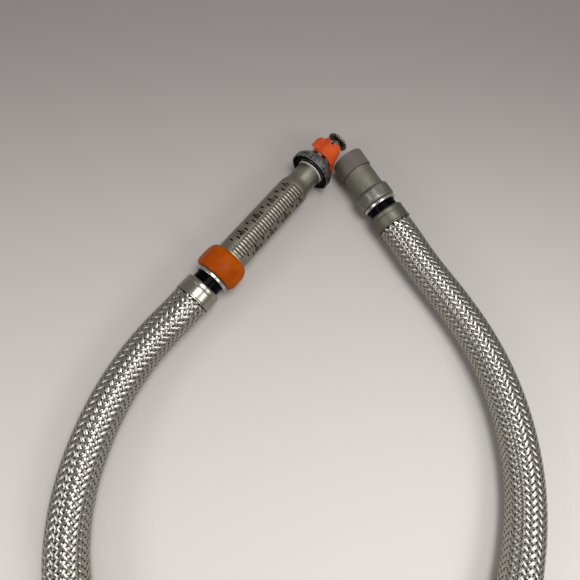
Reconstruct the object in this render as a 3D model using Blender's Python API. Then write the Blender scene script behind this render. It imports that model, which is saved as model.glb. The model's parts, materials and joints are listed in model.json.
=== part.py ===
"""Flexible sprinkler drop: a braided hose with a branch-line nipple at one end and a
reducer with a glass-bulb sprinkler at the other, lying on the floor with its hose in a loop.

Metres, +Z up. Each end is built along its own local X axis, whose zero is the rear face of that
end's nut and whose plus side points away from the hose. The whole object is then moved so that
its origin is the bottom centre of the box around both ends.
"""

from math import cos, exp, hypot, pi, radians, sin

import bmesh
import bpy
import numpy as np
from mathutils import Matrix, Vector

# Clearances
GAP = 0.0003
RUNNING_GAP = 0.0005
THREAD_GAP = 0.0004
HOSE_FLOOR_GAP = 0.00015

# Hose and its route on the floor, seen from above, from the sprinkler end to the branch end
HOSE_RADIUS = 0.017
HOSE_HEIGHT = HOSE_RADIUS + HOSE_FLOOR_GAP
HOSE_POINT_SPACING = 0.068
HOSE_SIDES_RESOLUTION = 4
HOSE_STRAIGHT = 0.012
HOSE_CURVE_SAMPLES = 2000
HOSE_ROUTE = [
    (-0.1401, -0.0492, 0.0202),
    (-0.1894, -0.0730, 0.0177),
    (-0.2344, -0.1090, HOSE_HEIGHT),
    (-0.2734, -0.1600, HOSE_HEIGHT),
    (-0.2934, -0.2170, HOSE_HEIGHT),
    (-0.2944, -0.2640, HOSE_HEIGHT),
    (-0.2814, -0.3170, HOSE_HEIGHT),
    (-0.2544, -0.3660, HOSE_HEIGHT),
    (-0.2144, -0.4060, HOSE_HEIGHT),
    (-0.1654, -0.4320, HOSE_HEIGHT),
    (-0.1104, -0.4400, HOSE_HEIGHT),
    (-0.0544, -0.4300, HOSE_HEIGHT),
    (-0.0044, -0.4050, HOSE_HEIGHT),
    (0.0396, -0.3680, HOSE_HEIGHT),
    (0.0736, -0.3260, HOSE_HEIGHT),
    (0.0966, -0.2790, HOSE_HEIGHT),
    (0.1096, -0.2280, HOSE_HEIGHT),
    (0.1121, -0.1820, HOSE_HEIGHT),
    (0.1078, -0.1350, 0.0172),
    (0.1034, -0.1000, 0.0175),
]

# Where the two ends lie side by side: the front rims of the reducer and of the nipple
SPRINKLER_RIM = (0.0496930692, 0.0298120967)
SPRINKLER_TURN = radians(22.9)
BRANCH_RIM = (0.0936729102, 0.0277221302)
BRANCH_TURN = radians(94.5)

# Joint of hose and nut, the same at both ends
FERRULE_RADIUS = 0.0178
FERRULE_LENGTH = 0.0163
FERRULE_LIP_HEIGHT = 0.0004
FERRULE_LIP_LENGTH = 0.0012
STUB_BORE_RADIUS = 0.0100
STUB_RADIUS = 0.0126
FLANGE_LENGTH = 0.0030
GASKET_LENGTH = 0.0020
THREAD_PITCH = 0.0254 / 11
NUT_REAR_WALL = 0.0050
SLEEVE_RUN_OUT = 0.00015
RING_EDGE = 0.0005
FERRULE_EDGE_LENGTH = 0.0015
FERRULE_EDGE_DEPTH = 0.0010
NUT_KNEE_ALONG = 0.35
NUT_KNEE_DOWN = 0.40
NUT_BAR_LENGTH = 1.5
HEXAGON_TURN = pi / 6 + pi / 2

# Sprinkler-end nut, ring and sleeve
SPRINKLER_NUT_FLATS = 0.0410
SPRINKLER_NUT_LENGTH = 0.0240
SPRINKLER_NUT_CORNER = 0.0218
SPRINKLER_NUT_ROUNDING = 0.0040
SPRINKLER_NUT_REAR_EASE = 0.0050
SPRINKLER_NUT_FRONT_EASE = 0.0080
SPRINKLER_NUT_TURNS = 3.5
SPRINKLER_SLEEVE_RADIUS = 0.01375
SPRINKLER_RING_RADIUS = 0.0172
SPRINKLER_RING_LENGTH = 0.0037
REDUCER_THREAD_RADIUS = 0.0165

# Branch-end nut, ring and sleeve
BRANCH_NUT_FLATS = 0.0366
BRANCH_NUT_LENGTH = 0.0145
BRANCH_NUT_CORNER = 0.0190
BRANCH_NUT_ROUNDING = 0.0016
BRANCH_NUT_REAR_EASE = 0.0030
BRANCH_NUT_FRONT_EASE = 0.0030
BRANCH_NUT_TURNS = 3.0
BRANCH_SLEEVE_RADIUS = 0.0147
BRANCH_RING_RADIUS = 0.0174
BRANCH_RING_LENGTH = 0.0035
NIPPLE_THREAD_RADIUS = 0.0160

# Reducer
REDUCER_REACH = 0.1460
SPIGOT_SETBACK = 0.0010
REDUCER_BODY_RADIUS = 0.0153
REDUCER_NECK_RADIUS = 0.0130
REDUCER_NECK_LENGTH = 0.0200
REDUCER_SHOULDER_LENGTH = 0.0070
REDUCER_BORE_RADIUS = 0.0105
REDUCER_RIM_RADIUS = 0.0137
REDUCER_RIM_LENGTH = 0.0022
OUTLET_RADIUS = 0.0109
OUTLET_DEPTH = 0.0160
RIDGE_PITCH = 0.00334
RIDGE_WIDTH = 0.0017
RIDGE_HEIGHT = 0.00035
RIDGE_BAND_ANGLE = radians(50.0)
RIDGE_BAND_TURN = radians(23.5)
RIDGE_START_MARGIN = 0.0030
RIDGE_END_MARGIN = 0.0020
RIDGE_STEPS = 6

# Nipple and thread protector
NIPPLE_REACH = 0.0577
NIPPLE_RADIUS = 0.0155
NIPPLE_BORE_RADIUS = 0.0130
PROTECTOR_LENGTH = 0.0178
PROTECTOR_WALL = 0.0008
PROTECTOR_EDGE = 0.00025

# Sprinkler
SPRINKLER_THREAD_LENGTH = 0.0150
FLANGE_STANDOFF = 0.0015
WRENCH_FLANGE_RADIUS = 0.0144
WRENCH_FLANGE_LENGTH = 0.0062
BOSS_RADIUS = 0.0118
BOSS_LENGTH = 0.0043
BOSS_EDGE_LENGTH = 0.0020
BOSS_EDGE_DEPTH = 0.0015
WATERWAY_RADIUS = 0.0040
ARM_SPREAD = 0.0092
ARM_HALF_WIDTH = 0.0014
ARM_HALF_HEIGHT = 0.0024
ARM_STATIONS = 9
ARM_OVERLAP = 0.0015
ARM_CLOSING_START = 0.6
ARM_CLOSING_POWER = 1.6
ARM_FOOT_SHARE = 0.75
END_BOSS_RADIUS = 0.0045
END_BOSS_LENGTH = 0.0060
FRAME_WINDOW = 0.0280
SPRING_RADIUS = 0.0075
SPRING_THICKNESS = 0.0008
SEAL_RADIUS = 0.0064
SEAL_HEAD = 0.0018
SEAL_STEM = 0.0045
BULB_RADIUS = 0.0025
BULB_TIP_RADIUS = 0.0009
BULB_TAPER = 0.0040
BULB_REAR_SHOULDER = 0.86
BULB_FRONT_SHOULDER = 0.70
SCREW_RADIUS = 0.0020
SCREW_ENTRY = 0.0030
SCREW_TIP = 0.0036
DEFLECTOR_RADIUS = 0.0113
DEFLECTOR_ROOT_RADIUS = 0.0066
DEFLECTOR_THICKNESS = 0.0012
DEFLECTOR_TINES = 24
TINE_SHARE = 0.42
TINE_TIP_SHARE = 0.24

# Protective cap over the bulb
CAP_REAR = 0.0157
CAP_LENGTH = 0.0205
CAP_SIDE_TAPER = 0.0129
CAP_TAPER_POWER = 8
CAP_NOTCH_DEPTH = 0.0050
CAP_NOTCH_SPREAD = radians(16.0)
CAP_WALL = 0.0014
CAP_LEG_DROP = 0.0190
CAP_LEG_SPLAY = 0.0022
CAP_LEG_TIP_WIDTH = 0.0040
CAP_ARCH_STEPS = 32
CAP_TAB_START = 0.0016
CAP_TAB_LENGTH = 0.0144
CAP_TAB_THICKNESS = 0.0016
CAP_TAB_REACH = 0.0024
CAP_TAB_DEPTH = 0.0010
CAP_TAB_DROP = 0.0012
CAP_TAB_TIP_INSET = 0.0060
CAP_TAB_TIP_LENGTH = 0.0052

# Escutcheon ring, loose round the sprinkler's boss
ESCUTCHEON_RADIUS = 0.0220
ESCUTCHEON_WALL = 0.0012
ESCUTCHEON_BAND = 0.0060
ESCUTCHEON_WIDTH = 0.0122
ESCUTCHEON_FRONT_RADIUS = 0.0172
ESCUTCHEON_BULGE = 0.35
ESCUTCHEON_PLAY = 0.00035
ESCUTCHEON_BEHIND = 0.0006
ESCUTCHEON_SLITS = 4
ESCUTCHEON_SLIT_WIDTH = 0.0008
ESCUTCHEON_SLIT_DEPTH = 0.0056
ESCUTCHEON_SLIT_TURN = radians(13.5)

# Roundness of turned pieces, in segments for a full turn
LARGE_SEGMENTS = 32
ROUNDEST_SEGMENTS = 40
FRAME_SEGMENTS = 26
SMALL_SEGMENTS = 18

# Heights of the two axes: one end lies on its escutcheon ring, the other on its nut
SPRINKLER_HEIGHT = ESCUTCHEON_RADIUS
BRANCH_HEIGHT = BRANCH_NUT_FLATS / 2

# The hose's two ends, behind the rims by the reach of the reducer and of the nipple
SPRINKLER_END = (
    SPRINKLER_RIM[0] - REDUCER_REACH * cos(SPRINKLER_TURN),
    SPRINKLER_RIM[1] - REDUCER_REACH * sin(SPRINKLER_TURN),
)
BRANCH_END = (
    BRANCH_RIM[0] - NIPPLE_REACH * cos(BRANCH_TURN),
    BRANCH_RIM[1] - NIPPLE_REACH * sin(BRANCH_TURN),
)

# Lengthwise places shared by the pieces of the sprinkler end
PIPE_FACE = NUT_REAR_WALL + 3 * GAP + FLANGE_LENGTH + GASKET_LENGTH
RIM = REDUCER_REACH
FLANGE_START = RIM + FLANGE_STANDOFF
BOSS_START = FLANGE_START + WRENCH_FLANGE_LENGTH
BOSS_END = BOSS_START + BOSS_LENGTH
END_BOSS_START = BOSS_END + FRAME_WINDOW
END_BOSS_END = END_BOSS_START + END_BOSS_LENGTH
ARM_OUTSIDE = ARM_SPREAD + ARM_HALF_WIDTH
ESCUTCHEON_HOLE_RADIUS = BOSS_RADIUS + ESCUTCHEON_PLAY
CAP_INSIDE = hypot(ARM_OUTSIDE, ARM_HALF_HEIGHT) + RUNNING_GAP


def clear_scene():
    """Remove whatever objects the file starts with."""
    for obj in list(bpy.data.objects):
        bpy.data.objects.remove(obj, do_unlink=True)


def finish(name, colour, metallic, roughness):
    """A Principled material of one colour."""
    material = bpy.data.materials.new(name)
    material.use_nodes = True
    shader = material.node_tree.nodes["Principled BSDF"]
    shader.inputs["Base Color"].default_value = (*colour, 1.0)
    shader.inputs["Metallic"].default_value = metallic
    shader.inputs["Roughness"].default_value = roughness
    material.diffuse_color = (*colour, 1.0)
    return material


def holder(name, location, turn, parent=None):
    """An empty that carries the pieces of one end."""
    empty = bpy.data.objects.new(name, None)
    bpy.context.scene.collection.objects.link(empty)
    empty.location = location
    empty.rotation_euler = (0.0, 0.0, turn)
    empty.parent = parent
    return empty


def place(name, bm, parent, material=None, smooth_angle=40.0):
    """Turn a bmesh into a named object under a parent."""
    bmesh.ops.recalc_face_normals(bm, faces=bm.faces)
    mesh = bpy.data.meshes.new(name)
    bm.to_mesh(mesh)
    bm.free()
    mesh.shade_smooth()
    mesh.set_sharp_from_angle(angle=radians(smooth_angle))
    if material is not None:
        mesh.materials.append(material)
    obj = bpy.data.objects.new(name, mesh)
    obj.parent = parent
    bpy.context.scene.collection.objects.link(obj)
    return obj


def as_cutter(obj):
    """Mark an object as a tool that is not part of the model."""
    obj.hide_render = True
    obj.display_type = "WIRE"
    return obj


def combine(obj, tool, operation):
    """Add an exact Boolean of a tool to an object."""
    modifier = obj.modifiers.new(f"{operation.lower()}_{tool.name}", "BOOLEAN")
    modifier.operation = operation
    modifier.solver = "EXACT"
    modifier.object = as_cutter(tool)


def turned_bmesh(profile, segments):
    """Spin a closed outline of (x, radius) points round the X axis.

    Neighbouring outline points that both lie on the axis are left unjoined.
    """
    bm = bmesh.new()
    corners = [bm.verts.new((x, 0.0, radius)) for x, radius in profile]
    for first, second in zip(corners, corners[1:] + corners[:1]):
        if first.co.z > 0.0 or second.co.z > 0.0:
            bm.edges.new((first, second))
    bmesh.ops.spin(
        bm,
        geom=bm.verts[:] + bm.edges[:],
        cent=(0.0, 0.0, 0.0),
        axis=(1.0, 0.0, 0.0),
        angle=2 * pi,
        steps=segments,
        use_merge=True,
    )
    bmesh.ops.remove_doubles(bm, verts=bm.verts, dist=1e-6)
    return bm


def turned(name, profile, parent, material=None, segments=LARGE_SEGMENTS):
    """A turned piece from its outline of (x, radius) points."""
    return place(name, turned_bmesh(profile, segments), parent, material)


def ring_profile(start, end, inner, outer, edge=0.0):
    """Outline of a plain ring, with its outer edges chamfered."""
    if edge == 0.0:
        return [(start, inner), (start, outer), (end, outer), (end, inner)]
    return [
        (start, inner),
        (start, outer - edge),
        (start + edge, outer),
        (end - edge, outer),
        (end, outer - edge),
        (end, inner),
    ]


def loft_bmesh(sections):
    """Join closed sections of equal point counts into one capped solid."""
    bm = bmesh.new()
    loops = [[bm.verts.new(point) for point in section] for section in sections]
    count = len(loops[0])
    for near, far in zip(loops, loops[1:]):
        for index in range(count):
            following = (index + 1) % count
            bm.faces.new((near[index], near[following], far[following], far[index]))
    bm.faces.new(loops[0])
    bm.faces.new(loops[-1])
    return bm


def box_bmesh(low, high):
    """A box between two corners."""
    bm = bmesh.new()
    bmesh.ops.create_cube(bm, size=1.0)
    size = Vector(high) - Vector(low)
    middle = (Vector(high) + Vector(low)) / 2
    bmesh.ops.scale(bm, vec=size, verts=bm.verts)
    bmesh.ops.translate(bm, vec=middle, verts=bm.verts)
    return bm


def nut(
    name, parent, material, flats, length, corner, rounding, rear_ease, front_ease, rear_bore,
    thread_bore,
):
    """A hexagon nut: a hexagonal bar cut back to a turned, rounded and bored blank."""
    blank = [
        (0.0, rear_bore),
        (0.0, corner - rounding),
        (rear_ease * NUT_KNEE_ALONG, corner - rounding * NUT_KNEE_DOWN),
        (rear_ease, corner),
        (length - front_ease, corner),
        (length - front_ease * NUT_KNEE_ALONG, corner - rounding * NUT_KNEE_DOWN),
        (length, corner - rounding),
        (length, thread_bore),
        (NUT_REAR_WALL, thread_bore),
        (NUT_REAR_WALL, rear_bore),
    ]
    body = turned(name, blank, parent, material, ROUNDEST_SEGMENTS)
    bar = bmesh.new()
    corner_radius = flats / 2 / cos(pi / 6)
    bmesh.ops.create_cone(
        bar,
        cap_ends=True,
        segments=6,
        radius1=corner_radius,
        radius2=corner_radius,
        depth=length * NUT_BAR_LENGTH,
        matrix=Matrix.Translation((length / 2, 0.0, 0.0)) @ Matrix.Rotation(pi / 2, 4, "Y")
        @ Matrix.Rotation(HEXAGON_TURN, 4, "Z"),
    )
    combine(body, place(f"{name}_bar", bar, parent), "INTERSECT")
    return body


def hose_joint(
    prefix, parent, finishes, ring_name, nut_name, nut_finish, flats, nut_length, corner,
    rounding, rear_ease, front_ease, turns, sleeve_radius, ring_radius, ring_length,
    thread_radius,
):
    """Ferrule, stub, sleeve, ring, nut and gasket of one hose end; returns the hose's start.

    The nut and its ring ride on the sleeve and back off by the stated turns of thread.
    """
    thread_bore = thread_radius + THREAD_GAP
    rear_bore = sleeve_radius + RUNNING_GAP
    travel = turns * THREAD_PITCH
    sleeve_start = -(GAP + ring_length + travel + SLEEVE_RUN_OUT)
    ferrule_front = sleeve_start - GAP
    ferrule_rear = ferrule_front - FERRULE_LENGTH
    lip = FERRULE_RADIUS + FERRULE_LIP_HEIGHT
    lip_end = ferrule_rear + FERRULE_LIP_LENGTH
    ferrule = [
        (ferrule_rear, STUB_RADIUS + GAP),
        (ferrule_rear, lip),
        (lip_end, lip),
        (lip_end + FERRULE_LIP_HEIGHT, FERRULE_RADIUS),
        (ferrule_front - FERRULE_EDGE_LENGTH, FERRULE_RADIUS),
        (ferrule_front, FERRULE_RADIUS - FERRULE_EDGE_DEPTH),
        (ferrule_front, STUB_RADIUS + GAP),
    ]
    turned(f"{prefix}_ferrule", ferrule, parent, finishes["ferrule"])

    flange_start = NUT_REAR_WALL + GAP
    flange_end = flange_start + FLANGE_LENGTH
    flange_radius = thread_bore - RUNNING_GAP
    stub = [
        (ferrule_rear, STUB_BORE_RADIUS),
        (ferrule_rear, STUB_RADIUS),
        (flange_start, STUB_RADIUS),
        (flange_start, flange_radius),
        (flange_end, flange_radius),
        (flange_end, STUB_BORE_RADIUS),
    ]
    turned(f"{prefix}_stub", stub, parent, finishes["steel"])

    sleeve = ring_profile(sleeve_start, NUT_REAR_WALL, STUB_RADIUS + GAP, sleeve_radius)
    turned(f"{prefix}_isolation_sleeve", sleeve, parent, finishes["rubber"])

    gasket_start = flange_end + GAP
    gasket = ring_profile(
        gasket_start, gasket_start + GASKET_LENGTH, STUB_BORE_RADIUS, flange_radius
    )
    turned(f"{prefix}_gasket", gasket, parent, finishes["rubber"])

    ring = ring_profile(-GAP - ring_length, -GAP, rear_bore, ring_radius, RING_EDGE)
    turned(ring_name, ring, parent, finishes["zinc"])
    nut(
        nut_name, parent, nut_finish, flats, nut_length, corner, rounding, rear_ease, front_ease,
        rear_bore, thread_bore,
    )
    return ferrule_rear - GAP


def reducer(parent, material):
    """The long reducer: threaded spigot, ribbed body, tapered shoulder, neck and rim."""
    spigot_end = SPRINKLER_NUT_LENGTH - SPIGOT_SETBACK
    neck_start = RIM - REDUCER_NECK_LENGTH
    body_end = neck_start - REDUCER_SHOULDER_LENGTH
    rim_start = RIM - REDUCER_RIM_LENGTH
    profile = [
        (PIPE_FACE, REDUCER_BORE_RADIUS),
        (PIPE_FACE, REDUCER_THREAD_RADIUS - RING_EDGE),
        (PIPE_FACE + RING_EDGE, REDUCER_THREAD_RADIUS),
        (spigot_end, REDUCER_THREAD_RADIUS),
        (spigot_end, REDUCER_BODY_RADIUS),
        (body_end, REDUCER_BODY_RADIUS),
        (neck_start, REDUCER_NECK_RADIUS),
        (rim_start, REDUCER_NECK_RADIUS),
        (rim_start + RING_EDGE, REDUCER_RIM_RADIUS),
        (RIM - RING_EDGE, REDUCER_RIM_RADIUS),
        (RIM, REDUCER_RIM_RADIUS - RING_EDGE),
        (RIM, OUTLET_RADIUS),
        (RIM - OUTLET_DEPTH, OUTLET_RADIUS),
        (RIM - OUTLET_DEPTH, REDUCER_BORE_RADIUS),
    ]
    body = turned("reducer", profile, parent, material)
    first = SPRINKLER_NUT_LENGTH + RIDGE_START_MARGIN
    last = body_end - RIDGE_END_MARGIN
    count = int((last - first) / RIDGE_PITCH) + 1
    ridges = bmesh.new()
    for number in range(count):
        add_ridge(ridges, first + number * RIDGE_PITCH)
    combine(body, place("reducer_ridges", ridges, parent), "UNION")
    return body


def add_ridge(bm, start):
    """One raised rib: a curved bar on top of the reducer's body."""
    low = REDUCER_BODY_RADIUS - RIDGE_HEIGHT
    high = REDUCER_BODY_RADIUS + RIDGE_HEIGHT
    loops = []
    for step in range(RIDGE_STEPS + 1):
        angle = RIDGE_BAND_TURN + RIDGE_BAND_ANGLE * (step / RIDGE_STEPS - 0.5)
        loops.append([
            bm.verts.new((start + x, -radius * sin(angle), radius * cos(angle)))
            for x, radius in ((0.0, low), (0.0, high), (RIDGE_WIDTH, high), (RIDGE_WIDTH, low))
        ])
    for near, far in zip(loops, loops[1:]):
        for index in range(4):
            following = (index + 1) % 4
            bm.faces.new((near[index], near[following], far[following], far[index]))
    bm.faces.new(loops[0])
    bm.faces.new(loops[-1])


def nipple(parent, material):
    """The branch-line nipple, its threads left to the finish."""
    profile = [
        (PIPE_FACE, NIPPLE_BORE_RADIUS),
        (PIPE_FACE, NIPPLE_THREAD_RADIUS - RING_EDGE),
        (PIPE_FACE + RING_EDGE, NIPPLE_THREAD_RADIUS),
        (BRANCH_NUT_LENGTH - RING_EDGE, NIPPLE_THREAD_RADIUS),
        (BRANCH_NUT_LENGTH, NIPPLE_RADIUS),
        (NIPPLE_REACH, NIPPLE_RADIUS),
        (NIPPLE_REACH, NIPPLE_BORE_RADIUS),
    ]
    return turned("nipple", profile, parent, material)


def thread_protector(parent, material):
    """Open plastic sleeve pushed over the nipple's outer thread."""
    inner = NIPPLE_RADIUS + GAP
    start = NIPPLE_REACH - PROTECTOR_LENGTH
    profile = ring_profile(start, NIPPLE_REACH, inner, inner + PROTECTOR_WALL, PROTECTOR_EDGE)
    return turned("thread_protector", profile, parent, material)


def sprinkler_frame(parent, material):
    """Threaded body, wrench flange and boss in one casting with two arms and an end boss."""
    thread_radius = OUTLET_RADIUS - GAP
    thread_start = RIM - SPRINKLER_THREAD_LENGTH
    body = [
        (thread_start, WATERWAY_RADIUS),
        (thread_start, thread_radius),
        (FLANGE_START, thread_radius),
        (FLANGE_START, WRENCH_FLANGE_RADIUS),
        (BOSS_START, WRENCH_FLANGE_RADIUS),
        (BOSS_START, BOSS_RADIUS),
        (BOSS_END - BOSS_EDGE_LENGTH, BOSS_RADIUS),
        (BOSS_END, BOSS_RADIUS - BOSS_EDGE_DEPTH),
        (BOSS_END, WATERWAY_RADIUS),
    ]
    frame = turned("sprinkler_frame", body, parent, material, FRAME_SEGMENTS)
    for side, label in ((1, "left"), (-1, "right")):
        combine(frame, arm(f"frame_arm_{label}", side, parent), "UNION")
    end_boss = ring_profile(
        END_BOSS_START, END_BOSS_END, SCREW_RADIUS + GAP, END_BOSS_RADIUS, RING_EDGE
    )
    combine(frame, turned("frame_end_boss", end_boss, parent, None, SMALL_SEGMENTS), "UNION")
    return frame


def arm(name, side, parent):
    """One frame arm: a flat bar that leaves the boss, bows out and closes on the end boss."""
    start = BOSS_END - ARM_OVERLAP
    end = END_BOSS_END - ARM_OVERLAP
    closed = END_BOSS_RADIUS * ARM_FOOT_SHARE
    sections = []
    for station in range(ARM_STATIONS):
        share = station / (ARM_STATIONS - 1)
        x = start + (end - start) * share
        closing = max(0.0, (share - ARM_CLOSING_START) / (1.0 - ARM_CLOSING_START))
        y = side * (ARM_SPREAD - (ARM_SPREAD - closed) * closing ** ARM_CLOSING_POWER)
        sections.append([
            (x, y - ARM_HALF_WIDTH, -ARM_HALF_HEIGHT),
            (x, y + ARM_HALF_WIDTH, -ARM_HALF_HEIGHT),
            (x, y + ARM_HALF_WIDTH, ARM_HALF_HEIGHT),
            (x, y - ARM_HALF_WIDTH, ARM_HALF_HEIGHT),
        ])
    return place(name, loft_bmesh(sections), parent)


def heat_parts(parent, finishes):
    """Seal, spring, glass bulb and compression screw, in line on the sprinkler's axis."""
    spring_start = BOSS_END + GAP
    spring_end = spring_start + SPRING_THICKNESS
    spring = ring_profile(spring_start, spring_end, WATERWAY_RADIUS, SPRING_RADIUS)
    turned("spring_washer", spring, parent, finishes["steel"], SMALL_SEGMENTS)

    head_start = spring_end + GAP
    head_end = head_start + SEAL_HEAD
    stem_radius = WATERWAY_RADIUS - GAP
    seal = [
        (head_start - SEAL_STEM, 0.0),
        (head_start - SEAL_STEM, stem_radius),
        (head_start, stem_radius),
        (head_start, SEAL_RADIUS),
        (head_end, SEAL_RADIUS - RING_EDGE),
        (head_end, 0.0),
    ]
    turned("orifice_seal", seal, parent, finishes["brass"], SMALL_SEGMENTS)

    bulb_start = head_end + GAP
    screw_start = END_BOSS_START - SCREW_ENTRY
    bulb_end = screw_start - GAP
    bulb = [
        (bulb_start, 0.0),
        (bulb_start, BULB_TIP_RADIUS),
        (bulb_start + BULB_TAPER / 2, BULB_RADIUS * BULB_REAR_SHOULDER),
        (bulb_start + BULB_TAPER, BULB_RADIUS),
        (bulb_end - BULB_TAPER, BULB_RADIUS),
        (bulb_end - BULB_TAPER / 2, BULB_RADIUS * BULB_FRONT_SHOULDER),
        (bulb_end, BULB_TIP_RADIUS),
        (bulb_end, 0.0),
    ]
    turned("glass_bulb", bulb, parent, finishes["glass"], SMALL_SEGMENTS)

    screw_end = END_BOSS_END + GAP + DEFLECTOR_THICKNESS + SCREW_TIP
    screw = [
        (screw_start, 0.0),
        (screw_start, SCREW_RADIUS),
        (screw_end - SCREW_RADIUS / 2, SCREW_RADIUS),
        (screw_end, SCREW_RADIUS / 2),
        (screw_end, 0.0),
    ]
    turned("compression_screw", screw, parent, finishes["chrome"], SMALL_SEGMENTS)


def deflector(parent, material):
    """A flat round plate slotted into fine tines, held at the end boss by the screw."""
    start = END_BOSS_END + GAP
    pitch = 2 * pi / DEFLECTOR_TINES
    outline = []
    for tine in range(DEFLECTOR_TINES):
        middle = tine * pitch
        for radius, share in (
            (DEFLECTOR_ROOT_RADIUS, -TINE_SHARE),
            (DEFLECTOR_RADIUS, -TINE_TIP_SHARE),
            (DEFLECTOR_RADIUS, TINE_TIP_SHARE),
            (DEFLECTOR_ROOT_RADIUS, TINE_SHARE),
        ):
            angle = middle + share * pitch / 2
            outline.append((start, radius * cos(angle), radius * sin(angle)))
    bm = bmesh.new()
    face = bm.faces.new([bm.verts.new(point) for point in outline])
    grown = bmesh.ops.extrude_face_region(bm, geom=[face])
    moved = [item for item in grown["geom"] if isinstance(item, bmesh.types.BMVert)]
    bmesh.ops.translate(bm, vec=(DEFLECTOR_THICKNESS, 0.0, 0.0), verts=moved)
    plate = place("deflector", bm, parent, material, 20.0)
    hole = [
        (start - DEFLECTOR_THICKNESS, 0.0),
        (start - DEFLECTOR_THICKNESS, SCREW_RADIUS + GAP),
        (start + 2 * DEFLECTOR_THICKNESS, SCREW_RADIUS + GAP),
        (start + 2 * DEFLECTOR_THICKNESS, 0.0),
    ]
    combine(plate, turned("deflector_hole", hole, parent, None, SMALL_SEGMENTS), "DIFFERENCE")
    return plate


def protective_cap(parent, material):
    """Saddle-shaped shell over the frame arms, with a tapered leg each side and a pull tab."""
    inner = CAP_INSIDE
    outer = CAP_INSIDE + CAP_WALL
    rear = RIM + FLANGE_STANDOFF + CAP_REAR
    arch = []
    for step in range(CAP_ARCH_STEPS + 1):
        angle = pi * step / CAP_ARCH_STEPS
        notch = CAP_NOTCH_DEPTH * exp(-((angle - pi / 2) / CAP_NOTCH_SPREAD) ** 2)
        front = rear + CAP_LENGTH - CAP_SIDE_TAPER * cos(angle) ** CAP_TAPER_POWER - notch
        arch.append([
            (x, -radius * cos(angle), radius * sin(angle))
            for x, radius in ((rear, inner), (rear, outer), (front, outer), (front, inner))
        ])
    leg = [cap_leg_section(share, rear, inner, outer) for share in (1.0, 2 / 3, 1 / 3)]
    right_leg = [[(x, -y, z) for x, y, z in section] for section in leg]
    sections = right_leg + arch + leg[::-1]
    shell = place("protective_cap", loft_bmesh(sections), parent, material)
    tab_top = outer - CAP_TAB_DEPTH
    tab_rear = rear + CAP_TAB_START
    tab_end = outer + CAP_TAB_REACH
    tab_sections = []
    for y, inset, drop in (
        (outer / 2, 0.0, 0.0),
        (tab_end - CAP_TAB_TIP_LENGTH, 0.0, 0.0),
        (tab_end - CAP_TAB_TIP_LENGTH / 3, CAP_TAB_TIP_INSET / 3, CAP_TAB_DROP / 2),
        (tab_end, CAP_TAB_TIP_INSET, CAP_TAB_DROP),
    ):
        tab_front = tab_rear + CAP_TAB_LENGTH - inset
        low = tab_top - CAP_TAB_THICKNESS - drop
        high = tab_top - drop
        tab_sections.append([
            (tab_rear, y, low), (tab_rear, y, high), (tab_front, y, high), (tab_front, y, low)
        ])
    combine(shell, place("protective_cap_tab", loft_bmesh(tab_sections), parent), "UNION")
    return shell


def cap_leg_section(share, rear, inner, outer):
    """A level cut through the left leg of the cap, a share of the way down to its tip."""
    root_width = CAP_LENGTH - CAP_SIDE_TAPER
    width = root_width + (CAP_LEG_TIP_WIDTH - root_width) * share
    start = rear + (root_width - width) / 2
    height = -CAP_LEG_DROP * share
    out = CAP_LEG_SPLAY * share
    return [
        (start, inner + out, height),
        (start, outer + out, height),
        (start + width, outer + out, height),
        (start + width, inner + out, height),
    ]


def escutcheon_ring(parent, material):
    """Slit band that domes in to a hole in front, where it hangs loosely on the boss."""
    rear = RIM - ESCUTCHEON_BEHIND
    front = rear + ESCUTCHEON_WIDTH
    inside = ESCUTCHEON_RADIUS - ESCUTCHEON_WALL
    shoulder = rear + ESCUTCHEON_BAND
    middle = (shoulder + front) / 2
    fall = ESCUTCHEON_RADIUS - ESCUTCHEON_FRONT_RADIUS
    middle_radius = ESCUTCHEON_RADIUS - ESCUTCHEON_BULGE * fall
    profile = [
        (rear, inside),
        (rear, ESCUTCHEON_RADIUS),
        (shoulder, ESCUTCHEON_RADIUS),
        (middle, middle_radius),
        (front, ESCUTCHEON_FRONT_RADIUS),
        (front, ESCUTCHEON_HOLE_RADIUS),
        (front - ESCUTCHEON_WALL, ESCUTCHEON_HOLE_RADIUS),
        (front - ESCUTCHEON_WALL, ESCUTCHEON_FRONT_RADIUS - ESCUTCHEON_WALL / 2),
        (middle - ESCUTCHEON_WALL / 2, middle_radius - ESCUTCHEON_WALL),
        (shoulder - ESCUTCHEON_WALL / 2, inside),
    ]
    ring = turned("escutcheon_ring", profile, parent, material, ROUNDEST_SEGMENTS)
    for number in range(ESCUTCHEON_SLITS):
        blade = box_bmesh(
            (rear - ESCUTCHEON_SLIT_WIDTH, -2 * ESCUTCHEON_RADIUS, -ESCUTCHEON_SLIT_WIDTH / 2),
            (rear + ESCUTCHEON_SLIT_DEPTH, 2 * ESCUTCHEON_RADIUS, ESCUTCHEON_SLIT_WIDTH / 2),
        )
        turn = ESCUTCHEON_SLIT_TURN + pi * (number + 0.5) / ESCUTCHEON_SLITS
        bmesh.ops.rotate(blade, verts=blade.verts, matrix=Matrix.Rotation(turn, 3, "X"))
        combine(ring, place(f"escutcheon_slit_{number}", blade, parent), "DIFFERENCE")
    return ring


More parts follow.
